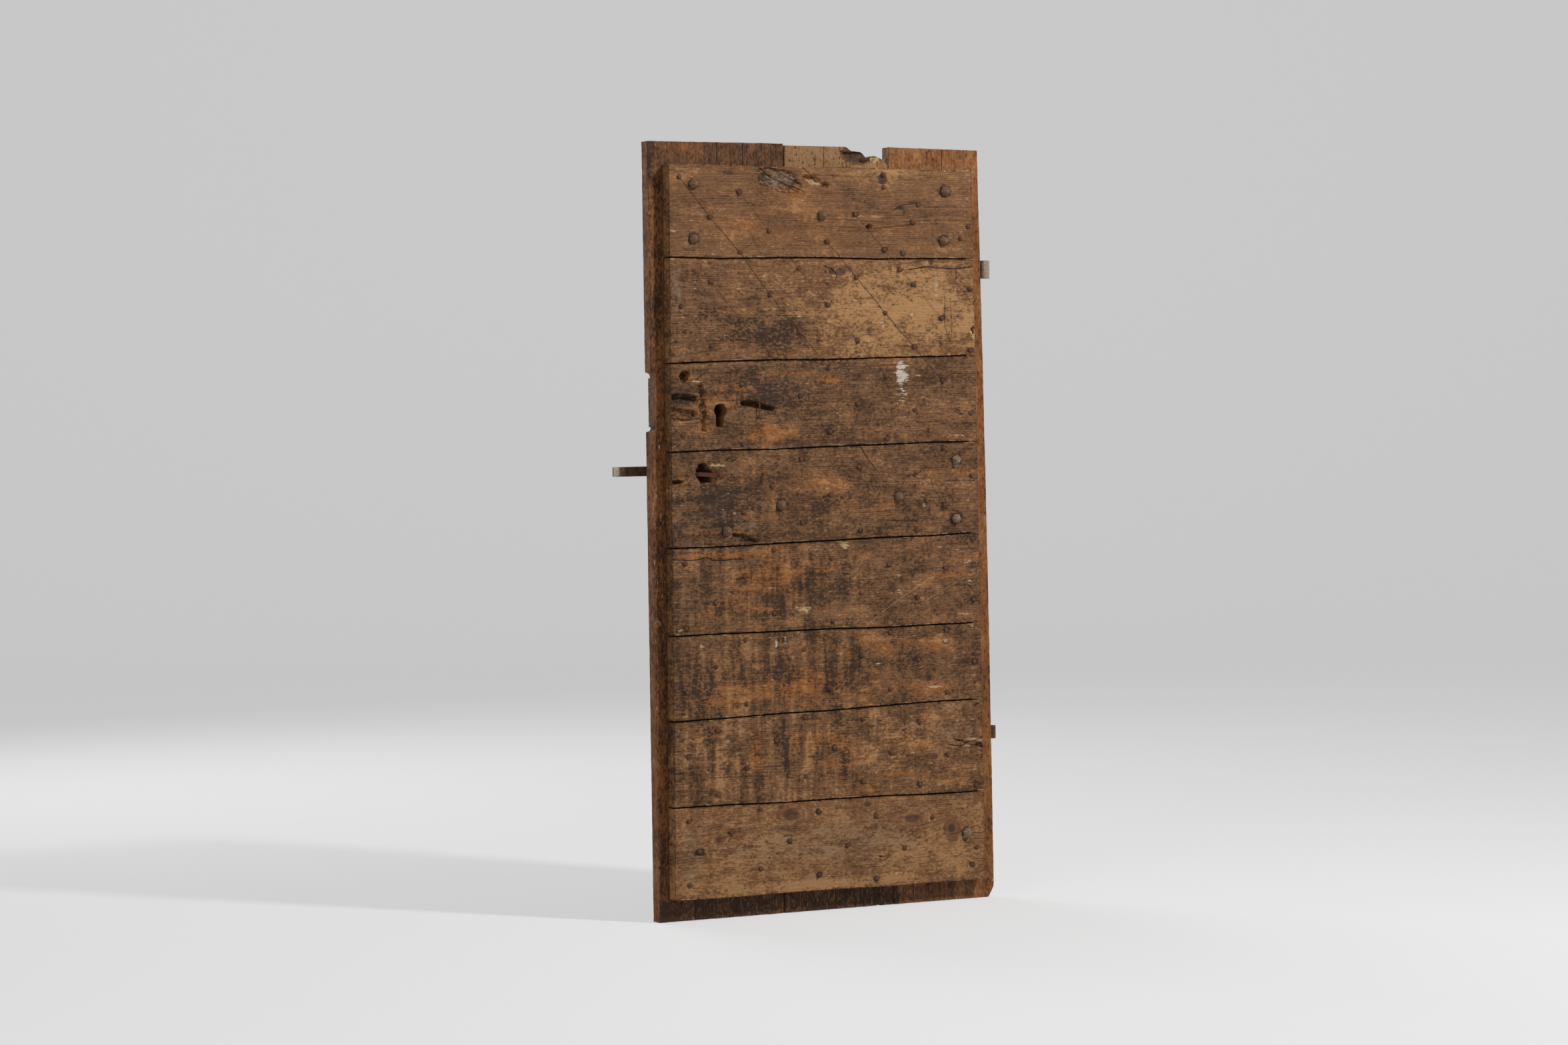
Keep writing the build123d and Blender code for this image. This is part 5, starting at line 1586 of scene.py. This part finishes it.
def keeper(node, seed):
    """Flat iron bent over the bolt, with a foot on each side."""
    low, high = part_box(node)
    bolt_low, bolt_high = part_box("slide_bolt")
    middle, toe = (low.z + high.z) / 2, (high.z - low.z) / 2
    inner = (bolt_high.z - bolt_low.z) / 2 + KEEPER_PLAY
    outer, top = inner + KEEPER_THICK, high.y - low.y
    half = [(outer, top), (outer, KEEPER_THICK), (toe, KEEPER_THICK), (toe, 0), (inner, 0)]
    half.append((inner, top - KEEPER_THICK))
    outline = half + [(-z, y) for z, y in half[::-1]]
    bm = bmesh.new()
    faces = [bm.faces.new([bm.verts.new((low.x, low.y + y, middle + z)) for z, y in outline])]
    for _ in range(5):
        faces = draw_on(bm, faces, Matrix.Translation(((high.x - low.x) / 5, 0, 0)))
    return forging(bm, node, seed, 0.8, 0.25, 0.6)


for number, node in enumerate(("bolt_keeper_outer", "bolt_keeper_inner")):
    mesh = keeper(node, 4050 + number)
    show(node + ".bent", mesh, STRAP_IRON, "leaf", "strap_iron", node)
    print(node, len(mesh.polygons), "faces")

# %% Forge the bolt
BOLT_THICK = 9 * MM
LUG = (BOLT_EDGE + 74 * MM, BOLT_EDGE + 87 * MM)
LUG_ROOM = 3 * MM
LUG_SHAPE = ((0.12, 0.94, 0.9), (0.30, 0.82, 0.80), (0.30, 0.94, 0.92), (0.18, 1.28, 1.2), (0.10, 0.86, 0.86))


def sliding_bolt():
    """A forged bar with a worn nose and an upright lug for the hand.

    The bar is drawn out in steps, of which two are the sides of the lug, so no other step lies
    between them or close to them.
    """
    low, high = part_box("slide_bolt")
    back = low.y + BOLT_THICK
    steps = np.linspace(low.x, high.x, 36).round(6)
    sides = np.round(LUG, 6)
    stops = [x for x in steps if not sides[0] - LUG_ROOM <= x <= sides[1] + LUG_ROOM]
    stops = sorted([*stops, *sides])
    bm = bmesh.new()
    faces = section(bm, ((low.x, low.y, low.z), (low.x, back, high.z)), 4)
    for before, after in zip(stops, stops[1:]):
        faces = draw_on(bm, faces, Matrix.Translation((after - before, 0, 0)))
    bmesh.ops.recalc_face_normals(bm, faces=bm.faces)
    seat = [f for f in bm.faces if f.normal.y > 0.9 and LUG[0] < f.calc_center_median().x < LUG[1]]
    lift = Matrix.Translation((sum(LUG) / 2, back, (low.z + high.z) / 2))
    for share, size_x, size_z in LUG_SHAPE:
        shape = lift @ Matrix.Diagonal((size_x, 1, size_z, 1)) @ lift.inverted()
        seat = draw_on(bm, seat, Matrix.Translation((0, share * (high.y - back), 0)) @ shape)

    def limed(points):
        return 0.75 * (1 - step_up(points[:, 0] - low.x, 0.004, 0.03))

    return forging(bm, "slide_bolt", 4100, 1.2, 0.3, 0.45, limed)


bolt = sliding_bolt()
show("slide_bolt.forged", bolt, BOLT_IRON, "bolt", "bolt_iron", "slide_bolt")
print("bolt", len(bolt.polygons), "faces")

# %% Bend the staples
STAPLES = (((251, 1145), 90, 37), ((258, 993), 78, 21), ((564, 119), 8, 24))
WIRE = 1.55
BEND_LINE = [(-1, -19), (-1, 3.4), (-0.92, 6.2), (-0.8, 6.6), (0.8, 6.6), (0.92, 6.2), (1, 3.4), (1, -19)]


def staple_set():
    """Wire staples, each a bent wire with its two legs in the wood."""
    curve = bpy.data.curves.new("staples", "CURVE")
    curve.dimensions, curve.bevel_depth, curve.use_fill_caps = "3D", WIRE * MM, True
    curve.bevel_resolution = 3
    for (across, up), degrees, crown in STAPLES:
        turn = math.radians(degrees)
        run = Vector((math.cos(turn), math.sin(turn))) * (crown - 3.2) / 2
        spline = curve.splines.new("POLY")
        spline.points.add(len(BEND_LINE) - 1)
        for spot, (share, out) in zip(spline.points, BEND_LINE):
            spot.co = (*point(across + run.x * share, up + run.y * share, FRONT + out), 1)
    wire = bpy.data.objects.new("staples", curve)
    bm = bmesh.new()
    bm.from_mesh(bpy.data.meshes.new_from_object(wire))
    bpy.data.objects.remove(wire)
    bmesh.ops.remove_doubles(bm, verts=bm.verts, dist=1e-6)
    return forging(bm, "staples", 4200, 0.1, 0.05, 0.9)


staples = staple_set()
show("staples.bent", staples, NAIL_IRON, "leaf", "nail_iron", "staples")
print("staples", len(staples.polygons), "faces")

# %% [markdown]
# ## Count the pieces
# The finished pieces are counted, with their faces. The finished pieces must stay inside the
# CAD's box.

# %% Count the pieces and finish
PIECES = [item for item in bpy.data.objects if item.type == "MESH" and "." in item.name]
print(len(PIECES), "pieces,", sum(len(item.data.polygons) for item in PIECES), "faces")
